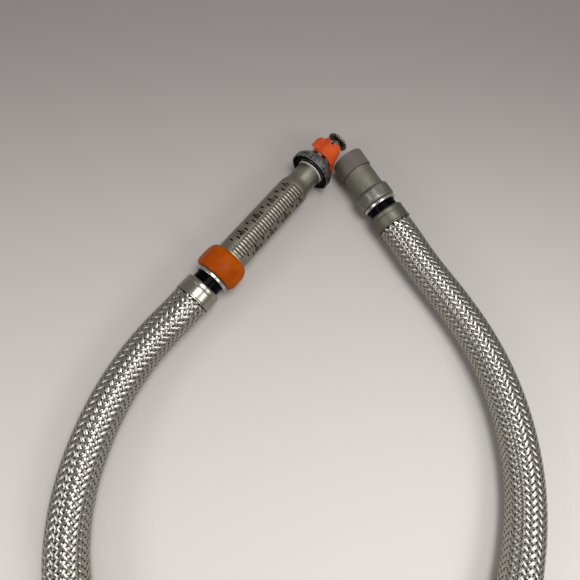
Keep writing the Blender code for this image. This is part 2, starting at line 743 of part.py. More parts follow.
def smooth_curve(points, start_way, end_way, samples):
    """Points along the cubic spline through the given points, with set end directions.

    The spline's parameter is the chord length, and its slopes come from one linear system
    that makes its curvature continuous.
    """
    points = np.array(points)
    chords = np.linalg.norm(np.diff(points, axis=0), axis=1)
    count = len(points)
    system = np.zeros((count, count))
    right = np.zeros((count, 3))
    system[0, 0] = system[-1, -1] = 1.0
    right[0] = start_way
    right[-1] = end_way
    for row in range(1, count - 1):
        before, after = chords[row - 1], chords[row]
        system[row, row - 1:row + 2] = (after, 2 * (before + after), before)
        right[row] = 3 * (
            after * (points[row] - points[row - 1]) / before
            + before * (points[row + 1] - points[row]) / after
        )
    slopes = np.linalg.solve(system, right)
    knots = np.concatenate(([0.0], np.cumsum(chords)))
    places = np.linspace(0.0, knots[-1], samples)
    index = np.clip(np.searchsorted(knots, places, side="right") - 1, 0, count - 2)
    span = chords[index][:, None]
    t = ((places - knots[index])[:, None]) / span
    return (
        (2 * t ** 3 - 3 * t ** 2 + 1) * points[index]
        + (t ** 3 - 2 * t ** 2 + t) * span * slopes[index]
        + (3 * t ** 2 - 2 * t ** 3) * points[index + 1]
        + (t ** 3 - t ** 2) * span * slopes[index + 1]
    )


def end_point(origin, turn, height, reach):
    """Place and outward direction of a hose end, in the layout's own frame."""
    way = np.array((cos(turn), sin(turn), 0.0))
    return np.array((*origin, height)) + reach * way, way


def hose(parent, material, sprinkler_reach, branch_reach):
    """The hose itself: one plain tube along its whole route."""
    start, start_way = end_point(SPRINKLER_END, SPRINKLER_TURN, SPRINKLER_HEIGHT, sprinkler_reach)
    end, end_way = end_point(BRANCH_END, BRANCH_TURN, BRANCH_HEIGHT, branch_reach)
    leaving = start - start_way * HOSE_STRAIGHT
    arriving = end - end_way * HOSE_STRAIGHT
    fine = smooth_curve([leaving, *HOSE_ROUTE, arriving], -start_way, end_way, HOSE_CURVE_SAMPLES)
    along = np.concatenate(([0.0], np.cumsum(np.linalg.norm(np.diff(fine, axis=0), axis=1))))
    samples = int(round(along[-1] / HOSE_POINT_SPACING)) + 1
    wanted = np.linspace(0.0, along[-1], samples)
    line = np.stack([np.interp(wanted, along, fine[:, axis]) for axis in range(3)], axis=1)
    line[:, 2] = np.maximum(line[:, 2], HOSE_HEIGHT)
    line = np.vstack([start, line, end])
    curve = bpy.data.curves.new("hose", "CURVE")
    curve.dimensions = "3D"
    curve.bevel_depth = HOSE_RADIUS
    curve.bevel_resolution = HOSE_SIDES_RESOLUTION
    curve.use_fill_caps = True
    spline = curve.splines.new("POLY")
    spline.points.add(len(line) - 1)
    spline.points.foreach_set("co", np.column_stack([line, np.ones(len(line))]).ravel())
    curve.materials.append(material)
    obj = bpy.data.objects.new("hose", curve)
    obj.parent = parent
    bpy.context.scene.collection.objects.link(obj)
    return obj


def centre_on_floor(root, left_out):
    """Move everything so that the origin is the bottom centre of the box round both ends."""
    bpy.context.view_layer.update()
    graph = bpy.context.evaluated_depsgraph_get()
    corners = []
    for obj in bpy.data.objects:
        if obj.type != "MESH" or obj.hide_render or obj in left_out:
            continue
        evaluated = obj.evaluated_get(graph)
        count = len(evaluated.data.vertices)
        places = np.empty(3 * count)
        evaluated.data.vertices.foreach_get("co", places)
        matrix = np.array(evaluated.matrix_world)
        corners.append(places.reshape(-1, 3) @ matrix[:3, :3].T + matrix[:3, 3])
    corners = np.concatenate(corners)
    low = corners.min(axis=0)
    high = corners.max(axis=0)
    root.location = (-(low[0] + high[0]) / 2, -(low[1] + high[1]) / 2, -low[2])
    bpy.context.view_layer.update()


def build():
    """Make every piece and place it."""
    clear_scene()
    finishes = {
        "braid": finish("braided_steel", (0.45, 0.44, 0.41), 1.0, 0.32),
        "ferrule": finish("pressed_steel", (0.42, 0.41, 0.38), 1.0, 0.28),
        "steel": finish("stainless_steel", (0.40, 0.39, 0.36), 1.0, 0.35),
        "rubber": finish("black_rubber", (0.02, 0.02, 0.02), 0.0, 0.6),
        "zinc": finish("zinc_plate", (0.40, 0.39, 0.36), 1.0, 0.38),
        "orange": finish("orange_paint", (0.75, 0.18, 0.015), 0.0, 0.35),
        "grey": finish("grey_plastic", (0.25, 0.24, 0.21), 0.0, 0.45),
        "red": finish("red_orange_plastic", (0.80, 0.10, 0.03), 0.0, 0.4),
        "chrome": finish("chrome", (0.55, 0.55, 0.54), 1.0, 0.12),
        "dark": finish("darkened_metal", (0.10, 0.07, 0.05), 0.5, 0.4),
        "brass": finish("brass", (0.70, 0.50, 0.20), 1.0, 0.3),
        "glass": finish("red_glass", (0.70, 0.04, 0.03), 0.0, 0.05),
    }
    root = holder("sprinkler_drop", (0.0, 0.0, 0.0), 0.0)
    sprinkler_end = holder(
        "sprinkler_end", (*SPRINKLER_END, SPRINKLER_HEIGHT), SPRINKLER_TURN, root
    )
    branch_end = holder("branch_end", (*BRANCH_END, BRANCH_HEIGHT), BRANCH_TURN, root)
    sprinkler_reach = hose_joint(
        "sprinkler", sprinkler_end, finishes, "reducer_thrust_ring", "reducer_nut",
        finishes["orange"], SPRINKLER_NUT_FLATS, SPRINKLER_NUT_LENGTH, SPRINKLER_NUT_CORNER,
        SPRINKLER_NUT_ROUNDING, SPRINKLER_NUT_REAR_EASE, SPRINKLER_NUT_FRONT_EASE,
        SPRINKLER_NUT_TURNS, SPRINKLER_SLEEVE_RADIUS, SPRINKLER_RING_RADIUS,
        SPRINKLER_RING_LENGTH, REDUCER_THREAD_RADIUS,
    )
    branch_reach = hose_joint(
        "branch", branch_end, finishes, "nipple_thrust_ring", "nipple_nut",
        finishes["zinc"], BRANCH_NUT_FLATS, BRANCH_NUT_LENGTH, BRANCH_NUT_CORNER,
        BRANCH_NUT_ROUNDING, BRANCH_NUT_REAR_EASE, BRANCH_NUT_FRONT_EASE,
        BRANCH_NUT_TURNS, BRANCH_SLEEVE_RADIUS, BRANCH_RING_RADIUS,
        BRANCH_RING_LENGTH, NIPPLE_THREAD_RADIUS,
    )
    reducer(sprinkler_end, finishes["zinc"])
    nipple(branch_end, finishes["zinc"])
    thread_protector(branch_end, finishes["grey"])
    sprinkler_frame(sprinkler_end, finishes["chrome"])
    heat_parts(sprinkler_end, finishes)
    deflector(sprinkler_end, finishes["dark"])
    protective_cap(sprinkler_end, finishes["red"])
    escutcheon_ring(sprinkler_end, finishes["chrome"])
    hose_tube = hose(root, finishes["braid"], sprinkler_reach, branch_reach)
    centre_on_floor(root, [hose_tube])


build()
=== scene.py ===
"""The looks of a flexible sprinkler drop: a braided hose in a loop on a pale floor, with a ribbed
reducer and a capped glass-bulb sprinkler at one end and a nipple with a thread protector at the
other.

Sizes are metres. A piece of an end is worked out along that end's own line: x runs away from the
hose from the rear face of the end's nut, y to the left and z up. The hose is worked out in the
object's frame.
"""

import json
from math import cos, hypot, pi, radians, sin

import bmesh
import bpy
import numpy as np
from mathutils import Matrix


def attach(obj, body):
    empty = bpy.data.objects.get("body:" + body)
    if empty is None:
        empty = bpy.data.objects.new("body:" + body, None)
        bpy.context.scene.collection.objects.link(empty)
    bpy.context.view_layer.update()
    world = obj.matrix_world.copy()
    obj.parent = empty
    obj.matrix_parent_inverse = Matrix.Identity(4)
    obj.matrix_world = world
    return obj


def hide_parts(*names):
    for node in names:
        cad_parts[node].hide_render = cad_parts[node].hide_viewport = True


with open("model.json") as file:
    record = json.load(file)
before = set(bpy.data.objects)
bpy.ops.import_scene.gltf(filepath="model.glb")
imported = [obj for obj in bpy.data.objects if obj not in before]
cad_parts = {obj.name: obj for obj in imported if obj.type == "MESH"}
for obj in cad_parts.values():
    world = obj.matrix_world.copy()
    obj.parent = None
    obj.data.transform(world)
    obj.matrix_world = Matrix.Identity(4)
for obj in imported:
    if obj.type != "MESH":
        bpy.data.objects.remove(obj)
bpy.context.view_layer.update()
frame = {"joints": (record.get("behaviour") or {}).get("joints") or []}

# Camera, at the photograph's place and lens
CAMERA_PLACE = (-0.1114, -0.1456, 0.4132)
CAMERA_FORWARD = (0.20741, 0.18462, -0.96067)
CAMERA_RIGHT = (0.87748, -0.46922, 0.09928)
CAMERA_LENS = 27.04
CAMERA_SENSOR = 36.0

# Hose and its route on the floor, from the sprinkler end to the branch end
HOSE_RADIUS = 0.017
HOSE_HEIGHT = 0.01715
HOSE_STRAIGHT = 0.012
HOSE_ROUTE = [
    (-0.1401, -0.0492, 0.0202),
    (-0.1894, -0.0730, 0.0177),
    (-0.2344, -0.1090, HOSE_HEIGHT),
    (-0.2734, -0.1600, HOSE_HEIGHT),
    (-0.2934, -0.2170, HOSE_HEIGHT),
    (-0.2944, -0.2640, HOSE_HEIGHT),
    (-0.2814, -0.3170, HOSE_HEIGHT),
    (-0.2544, -0.3660, HOSE_HEIGHT),
    (-0.2144, -0.4060, HOSE_HEIGHT),
    (-0.1654, -0.4320, HOSE_HEIGHT),
    (-0.1104, -0.4400, HOSE_HEIGHT),
    (-0.0544, -0.4300, HOSE_HEIGHT),
    (-0.0044, -0.4050, HOSE_HEIGHT),
    (0.0396, -0.3680, HOSE_HEIGHT),
    (0.0736, -0.3260, HOSE_HEIGHT),
    (0.0966, -0.2790, HOSE_HEIGHT),
    (0.1096, -0.2280, HOSE_HEIGHT),
    (0.1121, -0.1820, HOSE_HEIGHT),
    (0.1078, -0.1350, 0.0172),
    (0.1034, -0.1000, 0.0175),
]
HOSE_SAMPLES = 4000

# Braid of flat ribbons, as many of each hand, two over and two under
CORE_RADIUS = 0.0158
CORE_ROWS = 260
CORE_COLUMNS = 40
RIBBONS = 18
RIBBON_WIRES = 9
RIBBON_WIDTH = 0.0031
RIBBON_THICKNESS = 0.0005
RIBBON_RISE = 0.00032
RIBBON_SECTION_ACROSS = (-0.5, -0.32, 0.32, 0.5, 0.32, -0.32)
RIBBON_SECTION_HEIGHT = (-0.35, 0.45, 0.45, -0.35, -0.6, -0.6)
BRAID_ANGLE = radians(45.0)

# Clearances
GAP = 0.0003
RUNNING_GAP = 0.0005
THREAD_GAP = 0.0004

# Eased edges: the usual cut, the most of a side that it takes, and where the flat beside it starts
EASING = 0.0004
EASING_LIMIT = 0.4
FLAT_GUARD = 1.15

# Joint of hose and nut, the same at both ends
THREAD_PITCH = 0.0254 / 11
THREAD_DEPTH = 0.0011
FERRULE_RADIUS = 0.0178
FERRULE_LENGTH = 0.0163
FERRULE_LIP_HEIGHT = 0.0004
FERRULE_LIP_LENGTH = 0.0014
FERRULE_LIP_FALL = 0.0005
FERRULE_RECESS = 0.0001
FERRULE_CRIMP_PLACE = 0.0052
FERRULE_CRIMP_HALF = 0.0008
FERRULE_CRIMP_DEPTH = 0.0004
FERRULE_NOSE_LENGTH = 0.0015
FERRULE_NOSE_FALL = 0.0012
STUB_RADIUS = 0.0126
STUB_BORE_RADIUS = 0.0100
STUB_FLANGE_LENGTH = 0.0030
STUB_EASING = 0.0003
GASKET_LENGTH = 0.0020
SLEEVE_EASING = 0.0005
THRUST_RING_EASING = 0.0011
SLEEVE_RUN_OUT = 0.00015
NUT_REAR_WALL = 0.0050
NUT_EASE_SHARE = 0.35
NUT_ROUNDING_SHARE = 0.4
NUT_EASING = (
    0.0004, 0.0006, 0.0016, 0.0016, 0.0020, 0.0020, 0.0006, 0.0004, 0.0003, 0.0003,
)
NUT_FACE_ROWS = 8
PIPE_FACE = NUT_REAR_WALL + 3 * GAP + STUB_FLANGE_LENGTH + GASKET_LENGTH

# Sprinkler end
SPRINKLER_JOINT = dict(
    flats=0.0410, length=0.0240, corner=0.0218, rounding=0.0040, rear_ease=0.0050,
    front_ease=0.0080, turns=3.5, softness=0.0022, sleeve=0.01375, ring=0.0172,
    ring_length=0.0037, thread=0.0165,
)
REDUCER_REACH = 0.1460
REDUCER_BODY_RADIUS = 0.0153
REDUCER_NECK_RADIUS = 0.0130
REDUCER_NECK_START = 0.1260
REDUCER_BODY_END = 0.1190
REDUCER_BORE_RADIUS = 0.0105
REDUCER_RIM_RADIUS = 0.0137
REDUCER_RIM_LENGTH = 0.0022
SPIGOT_END = 0.0230
OUTLET_RADIUS = 0.0109
OUTLET_DEPTH = 0.0160
REDUCER_EASING = (
    0.0004, 0.0006, 0.0004, 0.0003, 0.0040, 0.0040, 0.0006, 0.0008, 0.0008, 0.0004, 0.0003, 0.0003,
)
REDUCER_THREAD_ROWS = 60
REDUCER_THREAD_TAPER = 0.0002
REDUCER_RIM_SLOPE = 0.0004
REDUCER_BODY_ROWS = 300
REDUCER_COLUMNS = 144
THREAD_MARGIN = 0.0006
SKIN_DEPTH = 0.0001
RIDGE_FIRST = 0.02785
RIDGE_LAST = 0.1170
RIDGE_PITCH = 0.00334
RIDGE_HEIGHT = 0.00035
RIDGE_BAND_MIDDLE = radians(-23.5)
RIDGE_BAND_HALF = radians(25.0)
RIDGE_FADE = radians(3.0)
RIDGE_STEEPNESS = 3
# Steepness and widening of the painted shade in the valleys between the ridges
VALLEY_STEEPNESS = 2
VALLEY_WIDENING = 0.6

# Printed scale on the reducer
SCALE_PITCH = 0.0109
SCALE_FIRST = 0.0350
SCALE_LAST = 0.1130
SCALE_TICK = (0.0016, 0.0045)
SCALE_TICK_STEPS = 6
SCALE_ROWS = (
    (radians(30.0), 0.0),
    (radians(15.0), 0.5),
    (radians(-53.0), 0.0),
    (radians(-71.0), 0.5),
)
SCALE_LABEL_ROWS = (radians(15.0), radians(-71.0))
SCALE_LABELS = ("40", "30", "20", "10")
SCALE_LABEL_SIZE = 0.0060
SCALE_LABEL_STROKE = 0.00018
NUMBER_CUTS = 21
PRINT_PROUD = 0.00003
BEAD_PROUD = 0.00008
BEAD_WALL = 0.0012
BEAD_EASING = 0.0007

# Branch end
BRANCH_JOINT = dict(
    flats=0.0366, length=0.0145, corner=0.0190, rounding=0.0016, rear_ease=0.0030,
    front_ease=0.0030, turns=3.0, softness=0.0008, sleeve=0.0147, ring=0.0174,
    ring_length=0.0035, thread=0.0160,
)
NIPPLE_REACH = 0.0577
NIPPLE_RADIUS = 0.0155
NIPPLE_BORE_RADIUS = 0.0130
NIPPLE_THREAD_ROWS = 28
NIPPLE_THREAD_MARGIN = 0.0008
NIPPLE_THREAD_END = 0.0004
PROTECTOR_LENGTH = 0.0178
PROTECTOR_WALL = 0.0008
# Painted shadow lines on the nipple, at the nut's front edge and the protector's rear edge
SHADOW_LINE_WIDTH = 0.0005
SHADOW_LINE_PROUD = 0.00012
SHADOW_LINE_EASING = 0.0001
SHADOW_LINE_SETBACK = 0.0001

# Sprinkler
SPRINKLER_THREAD_START = 0.1310
FLANGE_START = 0.1475
WRENCH_FLANGE_RADIUS = 0.0144
BOSS_START = 0.1537
BOSS_END = 0.1580
BOSS_RADIUS = 0.0118
WATERWAY_RADIUS = 0.0040
ARM_SPREAD = 0.0092
ARM_HALF_WIDTH = 0.0014
ARM_HALF_HEIGHT = 0.0024
ARM_OVERLAP = 0.0015
ARM_CLOSING_START = 0.6
ARM_CLOSING_POWER = 1.6
ARM_FOOT = 0.0034
ARM_STEPS = 28
ARM_EASING = 0.0007
BODY_EASING = (0.0003, 0.0005, 0.0003, 0.0004, 0.0004, 0.0005, 0.0018, 0.0003)
END_BOSS_START = 0.1860
END_BOSS_END = 0.1920
END_BOSS_RADIUS = 0.0045
END_BOSS_EASING = 0.0009
SPRING_END = 0.1591
SPRING_RADIUS = 0.0075
SEAL_END = 0.1612
SEAL_RADIUS = 0.0064
SEAL_CONE = 0.0005
SEAL_STEM_START = 0.1549
BULB_START = 0.1615
BULB_END = 0.1827
BULB_RADIUS = 0.0025
BULB_TIP_RADIUS = 0.0009
BULB_NECK_LENGTH = 0.0020
BULB_NECK_SHARES = (0.90, 0.70)
BULB_SHOULDER_LENGTH = 0.0046
SCREW_START = 0.1830
SCREW_END = 0.1971
SCREW_RADIUS = 0.0020
DEFLECTOR_START = 0.1923
DEFLECTOR_RADIUS = 0.0113
DEFLECTOR_ROOT_RADIUS = 0.0066
DEFLECTOR_THICKNESS = 0.0012
DEFLECTOR_TINES = 24
TINE_SHARE = 0.42
TINE_TIP_SHARE = 0.24
TINE_COLUMNS = 16
DEFLECTOR_EASING = 0.0002
AXIS_RADIUS = 0.00002

# Protective cap
CAP_REAR = 0.1632
CAP_LENGTH = 0.0205
CAP_SIDE_TAPER = 0.0129
CAP_TAPER_POWER = 8
CAP_INSIDE = hypot(ARM_SPREAD + ARM_HALF_WIDTH, ARM_HALF_HEIGHT) + RUNNING_GAP
CAP_WALL = 0.0014
CAP_LEG_DROP = 0.0190
CAP_LEG_SPLAY = 0.0022
CAP_LEG_TIP_WIDTH = 0.0040
CAP_LEG_TIP_SHARE = 0.16
CAP_LEG_TIP_ROWS = 9
CAP_LEG_ROWS = 10
CAP_LEG_SHARES = (0.8, 0.05)
CAP_LEG_TIP_BLUNTNESS = 0.001
CAP_ARCH_ROWS = 73
CAP_EASING = 0.0005
CAP_NOTCH_DEPTH = 0.0050
CAP_NOTCH_SPREAD = radians(16.0)
CAP_TAB_START = 0.1648
CAP_TAB_LENGTH = 0.0144
CAP_TAB_REACH = 0.0024
CAP_TAB_THICKNESS = 0.0016
CAP_TAB_DEPTH = 0.0010
CAP_TAB_DROP = 0.0012
CAP_TAB_TIP_INSET = 0.0060
CAP_TAB_TIP_LENGTH = 0.0052
CAP_TAB_REAR_INSET = 0.0012
CAP_TAB_TIP_THINNING = 0.0003
CAP_TAB_EASING = 0.0006
CAP_TAB_ROWS = 5
CAP_TAB_TIP_ROWS = 20

# Escutcheon ring
ESCUTCHEON_RADIUS = 0.0220
ESCUTCHEON_WALL = 0.0012
ESCUTCHEON_REAR = 0.1454
ESCUTCHEON_SHOULDER = 0.1514
ESCUTCHEON_FRONT = 0.1576
ESCUTCHEON_FRONT_RADIUS = 0.0172
ESCUTCHEON_BULGE = 0.35
ESCUTCHEON_PLAY = 0.00035
ESCUTCHEON_HOLE_RADIUS = BOSS_RADIUS + ESCUTCHEON_PLAY
ESCUTCHEON_EASING = (0.0003, 0.0018, 0.0009, 0.0003, 0.0003, 0.0006, 0.0018, 0.0003)
ESCUTCHEON_FINGERS = 8
ESCUTCHEON_SLIT_WIDTH = 0.0008
ESCUTCHEON_SLIT_DEPTH = 0.0056
ESCUTCHEON_SLIT_TURN = radians(9.0)
ESCUTCHEON_STEP = 0.00016
FINGER_OVERLAP = 0.0002
FINGER_COLUMNS = 14
FINGER_EASING = 0.0003
# How far under the ring's outer face the painted shade in the slits stays
SLIT_SHADE_DEPTH = 0.0001
LINING = 0.00012

# Fineness of the turned surfaces
TURN_COLUMNS = 96
NUT_COLUMNS = 192
SMALL_COLUMNS = 48
SMALLEST_COLUMNS = 40
CORNER_STEPS = 4

# Floor and light
# Painted light on the floor: a darker shaded tone far off, a lighter lit tone towards the camera
FLOOR_SHADED_COLOUR = (0.30, 0.277, 0.264)
FLOOR_LIT_COLOUR = (0.82, 0.78, 0.735)
FLOOR_LIT_WAY = (-0.43, -0.86, 0.0)
FLOOR_SHADED_PLACE = -0.30
FLOOR_LIT_PLACE = 0.46
FLOOR_HALF = 3.0
FLOOR_DROP = 0.0002
WORLD_COLOUR = (1.0, 0.99, 0.98, 1.0)
WORLD_STRENGTH = 0.32
LAMP_TARGET = (0.0, -0.1, 0.0)
LAMPS = (
    ("overhead_light", (0.12, -0.12, 1.0), 0.42, 5.0),
    ("near_side_light", (0.35, -1.00, 0.90), 0.50, 4.5),
    ("left_light", (-1.2, 0.10, 0.75), 0.4, 3.2),
)


def end_frame(joint_name):
    """Origin and axes of one hose end, from its nut's hinge: away from the hose, left and up."""
    joint = next(joint for joint in frame["joints"] if joint["name"] == joint_name)
    away = -np.array(joint["axis"])
    away = away / np.linalg.norm(away)
    up = np.array((0.0, 0.0, 1.0))
    return np.array(joint["pos_m"]), np.stack([away, np.cross(up, away), up])


def placed(points, end):
    """Points of an end's own frame, in the object's frame."""
    origin, axes = end
    return origin + points @ axes


# Meshes from grids of points

def patch(points, wrap_rows=True, along=None, around=None):
    """Faces and their surface coordinates for a grid of points (row, column, axis).

    A face joins four neighbours of the grid, and the last column joins the first. The last row
    joins the first too, or else the first and last rows are closed with one flat face each.
    """
    rows, columns = points.shape[:2]
    i, j = np.meshgrid(
        np.arange(rows if wrap_rows else rows - 1),
        np.arange(columns),
        indexing="ij",
    )
    i, j = i.ravel(), j.ravel()
    next_i, next_j = (i + 1) % rows, (j + 1) % columns
    if along is None:
        steps = np.linalg.norm(np.roll(points[:, 0], -1, axis=0) - points[:, 0], axis=1)
        along = np.concatenate(([0.0], np.cumsum(steps)))
    if around is None:
        steps = np.linalg.norm(np.roll(points, -1, axis=1) - points, axis=2).max(axis=0)
        around = np.concatenate(([0.0], np.cumsum(steps)))
    quads = np.stack([
        i * columns + j, i * columns + next_j, next_i * columns + next_j, next_i * columns + j
    ], axis=1)
    places = np.stack([
        np.stack([along[i], around[j]], axis=1),
        np.stack([along[i], around[j + 1]], axis=1),
        np.stack([along[i + 1], around[j + 1]], axis=1),
        np.stack([along[i + 1], around[j]], axis=1),
    ], axis=1)
    flat = points.reshape(-1, 3)
    corners = flat[quads] - flat.mean(axis=0)
    volume = np.einsum(
        "ij,ij->i", corners[:, 0], np.cross(corners[:, 1], corners[:, 2])
    ).sum() + np.einsum(
        "ij,ij->i", corners[:, 0], np.cross(corners[:, 2], corners[:, 3])
    ).sum()
    caps = []
    if not wrap_rows:
        caps = [np.arange(columns)[::-1], (rows - 1) * columns + np.arange(columns)]
    if volume < 0.0:
        quads = quads[:, ::-1]
        places = places[:, ::-1]
        caps = [cap[::-1] for cap in caps]
    return flat, quads, places, caps


def make_mesh(name, patches, sharp=35.0):
    """One mesh from several patches, smooth but for edges sharper than the stated degrees."""
    points, faces, places = [], [], []
    offset = 0
    for flat, quads, corners, caps in patches:
        points.append(flat)
        faces.extend((quads + offset).tolist())
        places.append(corners.reshape(-1, 2))
        offset += len(flat)
    offset = 0
    for flat, quads, corners, caps in patches:
        for cap in caps:
            faces.append((cap + offset).tolist())
            places.append(np.zeros((len(cap), 2)))
        offset += len(flat)
    mesh = bpy.data.meshes.new(name)
    mesh.from_pydata(np.concatenate(points), [], faces)
    layer = mesh.uv_layers.new(name="surface")
    layer.data.foreach_set("uv", np.concatenate(places).ravel())
    mesh.shade_smooth()
    mesh.set_sharp_from_angle(angle=radians(sharp))
    mesh.update()
    return mesh


def add_piece(name, patches, material, body, nodes=(), sharp=35.0):
    """An object from patches that rides on a body and stands for the named CAD nodes."""
    obj = bpy.data.objects.new(name, make_mesh(name, patches, sharp))
    bpy.context.scene.collection.objects.link(obj)
    obj.data.materials.append(material)
    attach(obj, body)
    if nodes:
        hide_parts(*nodes)
    return obj


def eased(corners, easing, steps=CORNER_STEPS):
    """A closed outline with each corner C eased between the cuts A and B on its two sides.

    The eased corner is (1 - t)² A + 2 t (1 - t) C + t² B for t from 0 to 1. A further point
    just outside each cut keeps the shading of the flats flat. The result has one row of points
    for each corner.
    """
    corners = np.array(corners, dtype=float)
    easing = np.broadcast_to(np.asarray(easing, dtype=float), len(corners))
    back = np.roll(corners, 1, axis=0) - corners
    ahead = np.roll(corners, -1, axis=0) - corners
    back_length = np.linalg.norm(back, axis=1)
    ahead_length = np.linalg.norm(ahead, axis=1)
    cut = np.minimum(easing, EASING_LIMIT * np.minimum(back_length, ahead_length))[:, None]
    back = back / back_length[:, None]
    ahead = ahead / ahead_length[:, None]
    t = np.linspace(0.0, 1.0, steps + 1)[None, :, None]
    curve = (
        (1 - t) ** 2 * (corners + back * cut)[:, None]
        + 2 * t * (1 - t) * corners[:, None]
        + t ** 2 * (corners + ahead * cut)[:, None]
    )
    before = (corners + FLAT_GUARD * back * cut)[:, None]
    after = (corners + FLAT_GUARD * ahead * cut)[:, None]
    return np.concatenate([before, curve, after], axis=1)


def outline(corners, easing=EASING, steps=CORNER_STEPS):
    """The eased corners as one list of points."""
    return eased(corners, easing, steps).reshape(-1, 2)


def round_line(x, r, a):
    """Points at a place, radius and angle round an end's line: (x, r sin a, r cos a)."""
    return np.stack(np.broadcast_arrays(x, r * np.sin(a), r * np.cos(a)), axis=-1)


def revolved(profile, end, columns=TURN_COLUMNS, radius=None):
    """A closed outline of (x, r) turned round an end's line: y = r sin a, z = r cos a.

    Radius, when given, is a function of the grids of x, r and a that returns the radius.
    """
    angle = np.linspace(0.0, 2 * pi, columns, endpoint=False)
    x = np.repeat(profile[:, :1], columns, axis=1)
    r = np.repeat(profile[:, 1:], columns, axis=1)
    a = np.broadcast_to(angle, x.shape)
    if radius is not None:
        r = radius(x, r, a)
    steps = np.linalg.norm(np.roll(profile, -1, axis=0) - profile, axis=1)
    along = np.concatenate(([0.0], np.cumsum(steps)))
    around = np.linspace(0.0, 2 * pi * profile[:, 1].max(), columns + 1)
    return patch(placed(round_line(x, r, a), end), along=along, around=around)


def ring_corners(start, finish, inner, outer):
    """Corners of a plain ring's section."""
    return [(start, inner), (start, outer), (finish, outer), (finish, inner)]


def plain_ring(start, finish, inner, outer, easing, end, columns=TURN_COLUMNS):
    """A turned ring with a rectangular section and eased edges."""
    return revolved(outline(ring_corners(start, finish, inner, outer), easing), end, columns)


def soft_least(a, b, softness):
    """The lesser of two values, blended by h = (1 + (b - a) / softness) / 2 kept to 0..1."""
    h = np.clip(0.5 + 0.5 * (b - a) / softness, 0.0, 1.0)
    return b * (1 - h) + a * h - softness * h * (1 - h)


def thread_form(x, a):
    """How far a right-hand thread is cut in: THREAD_DEPTH (1 - cos 2 pi t) / 2.

    Here t is x in pitches less the share of a full turn that the angle is.
    """
    turn = x / THREAD_PITCH - a / (2 * pi)
    return THREAD_DEPTH * (0.5 - 0.5 * np.cos(2 * pi * turn))


# Shaders

def new_shader(name, colour, metallic, roughness):
    """A Principled material and its node tree."""
    material = bpy.data.materials.new(name)
    material.use_nodes = True
    shader = material.node_tree.nodes["Principled BSDF"]
    shader.inputs["Base Color"].default_value = (*colour, 1.0)
    shader.inputs["Metallic"].default_value = metallic
    shader.inputs["Roughness"].default_value = roughness
    material.diffuse_color = (*colour, 1.0)
    return material, material.node_tree, shader


def add_node(tree, kind, links=(), **settings):
    """A node with its settings, and links given as (socket name or number, output)."""
    node = tree.nodes.new(kind)
    for key, value in settings.items():
        setattr(node, key, value)
    for socket, source in links:
        if isinstance(source, (int, float, tuple)):
            node.inputs[socket].default_value = source
        else:
            tree.links.new(source, node.inputs[socket])
    return node


def object_place(tree):
    """Object coordinates."""
    return add_node(tree, "ShaderNodeTexCoord").outputs["Object"]


def surface_place(tree, scale):
    """The piece's own surface coordinates in metres, stretched."""
    source = add_node(tree, "ShaderNodeTexCoord").outputs["UV"]
    return add_node(tree, "ShaderNodeMapping", [("Vector", source), ("Scale", scale)]).outputs[0]


def noise(tree, place, scale, detail=3.0, roughness=0.55):
    """Fractal noise from 0 to 1."""
    return add_node(
        tree, "ShaderNodeTexNoise",
        [("Vector", place), ("Scale", scale), ("Detail", detail), ("Roughness", roughness)],
    ).outputs["Fac"]


def cell_distance(tree, place, scale):
    """Distance from the middle of small irregular cells."""
    return add_node(
        tree, "ShaderNodeTexVoronoi", [("Vector", place), ("Scale", scale)]
    ).outputs["Distance"]


def ranged(tree, value, low, high, new_low, new_high):
    """A value moved from one range to another, kept inside it."""
    return add_node(tree, "ShaderNodeMapRange", [
        ("Value", value), ("From Min", low), ("From Max", high),
        ("To Min", new_low), ("To Max", new_high),
    ]).outputs["Result"]


def blended(tree, share, first, second):
    """Two colours mixed by a share."""
    node = tree.nodes.new("ShaderNodeMix")
    node.data_type = "RGBA"
    for socket, source in ((0, share), (6, first), (7, second)):
        if isinstance(source, tuple):
            node.inputs[socket].default_value = (*source, 1.0)
        else:
            tree.links.new(source, node.inputs[socket])
    return node.outputs[2]


def arithmetic(tree, operation, first, second=0.0):
    """One Math node."""
    return add_node(
        tree, "ShaderNodeMath", [(0, first), (1, second)], operation=operation
    ).outputs[0]


def bumped(tree, shader, height, strength, distance):
    """Bump from a height, added to whatever bump the shader already has."""
    links = [("Height", height), ("Strength", strength), ("Distance", distance)]
    if shader.inputs["Normal"].is_linked:
        links.append(("Normal", shader.inputs["Normal"].links[0].from_socket))
    node = add_node(tree, "ShaderNodeBump", links)
    tree.links.new(node.outputs["Normal"], shader.inputs["Normal"])


def metal_finish(name, light, dark, roughness):
    """Metal with cloudy patches, and a fine grain drawn out along the surface."""
    material, tree, shader = new_shader(name, light, 1.0, roughness)
    cloud = noise(tree, object_place(tree), 90.0, 4.0, 0.6)
    fine = noise(tree, surface_place(tree, (60.0, 900.0, 1.0)), 1.0, 2.0)
    share = ranged(tree, cloud, 0.3, 0.7, 0.0, 1.0)
    tree.links.new(blended(tree, share, dark, light), shader.inputs["Base Color"])
    uneven = ranged(tree, fine, 0.25, 0.75, roughness - 0.07, roughness + 0.10)
    tree.links.new(uneven, shader.inputs["Roughness"])
    bumped(tree, shader, fine, 0.06, 0.0001)
    bumped(tree, shader, cloud, 0.06, 0.0004)
    return material


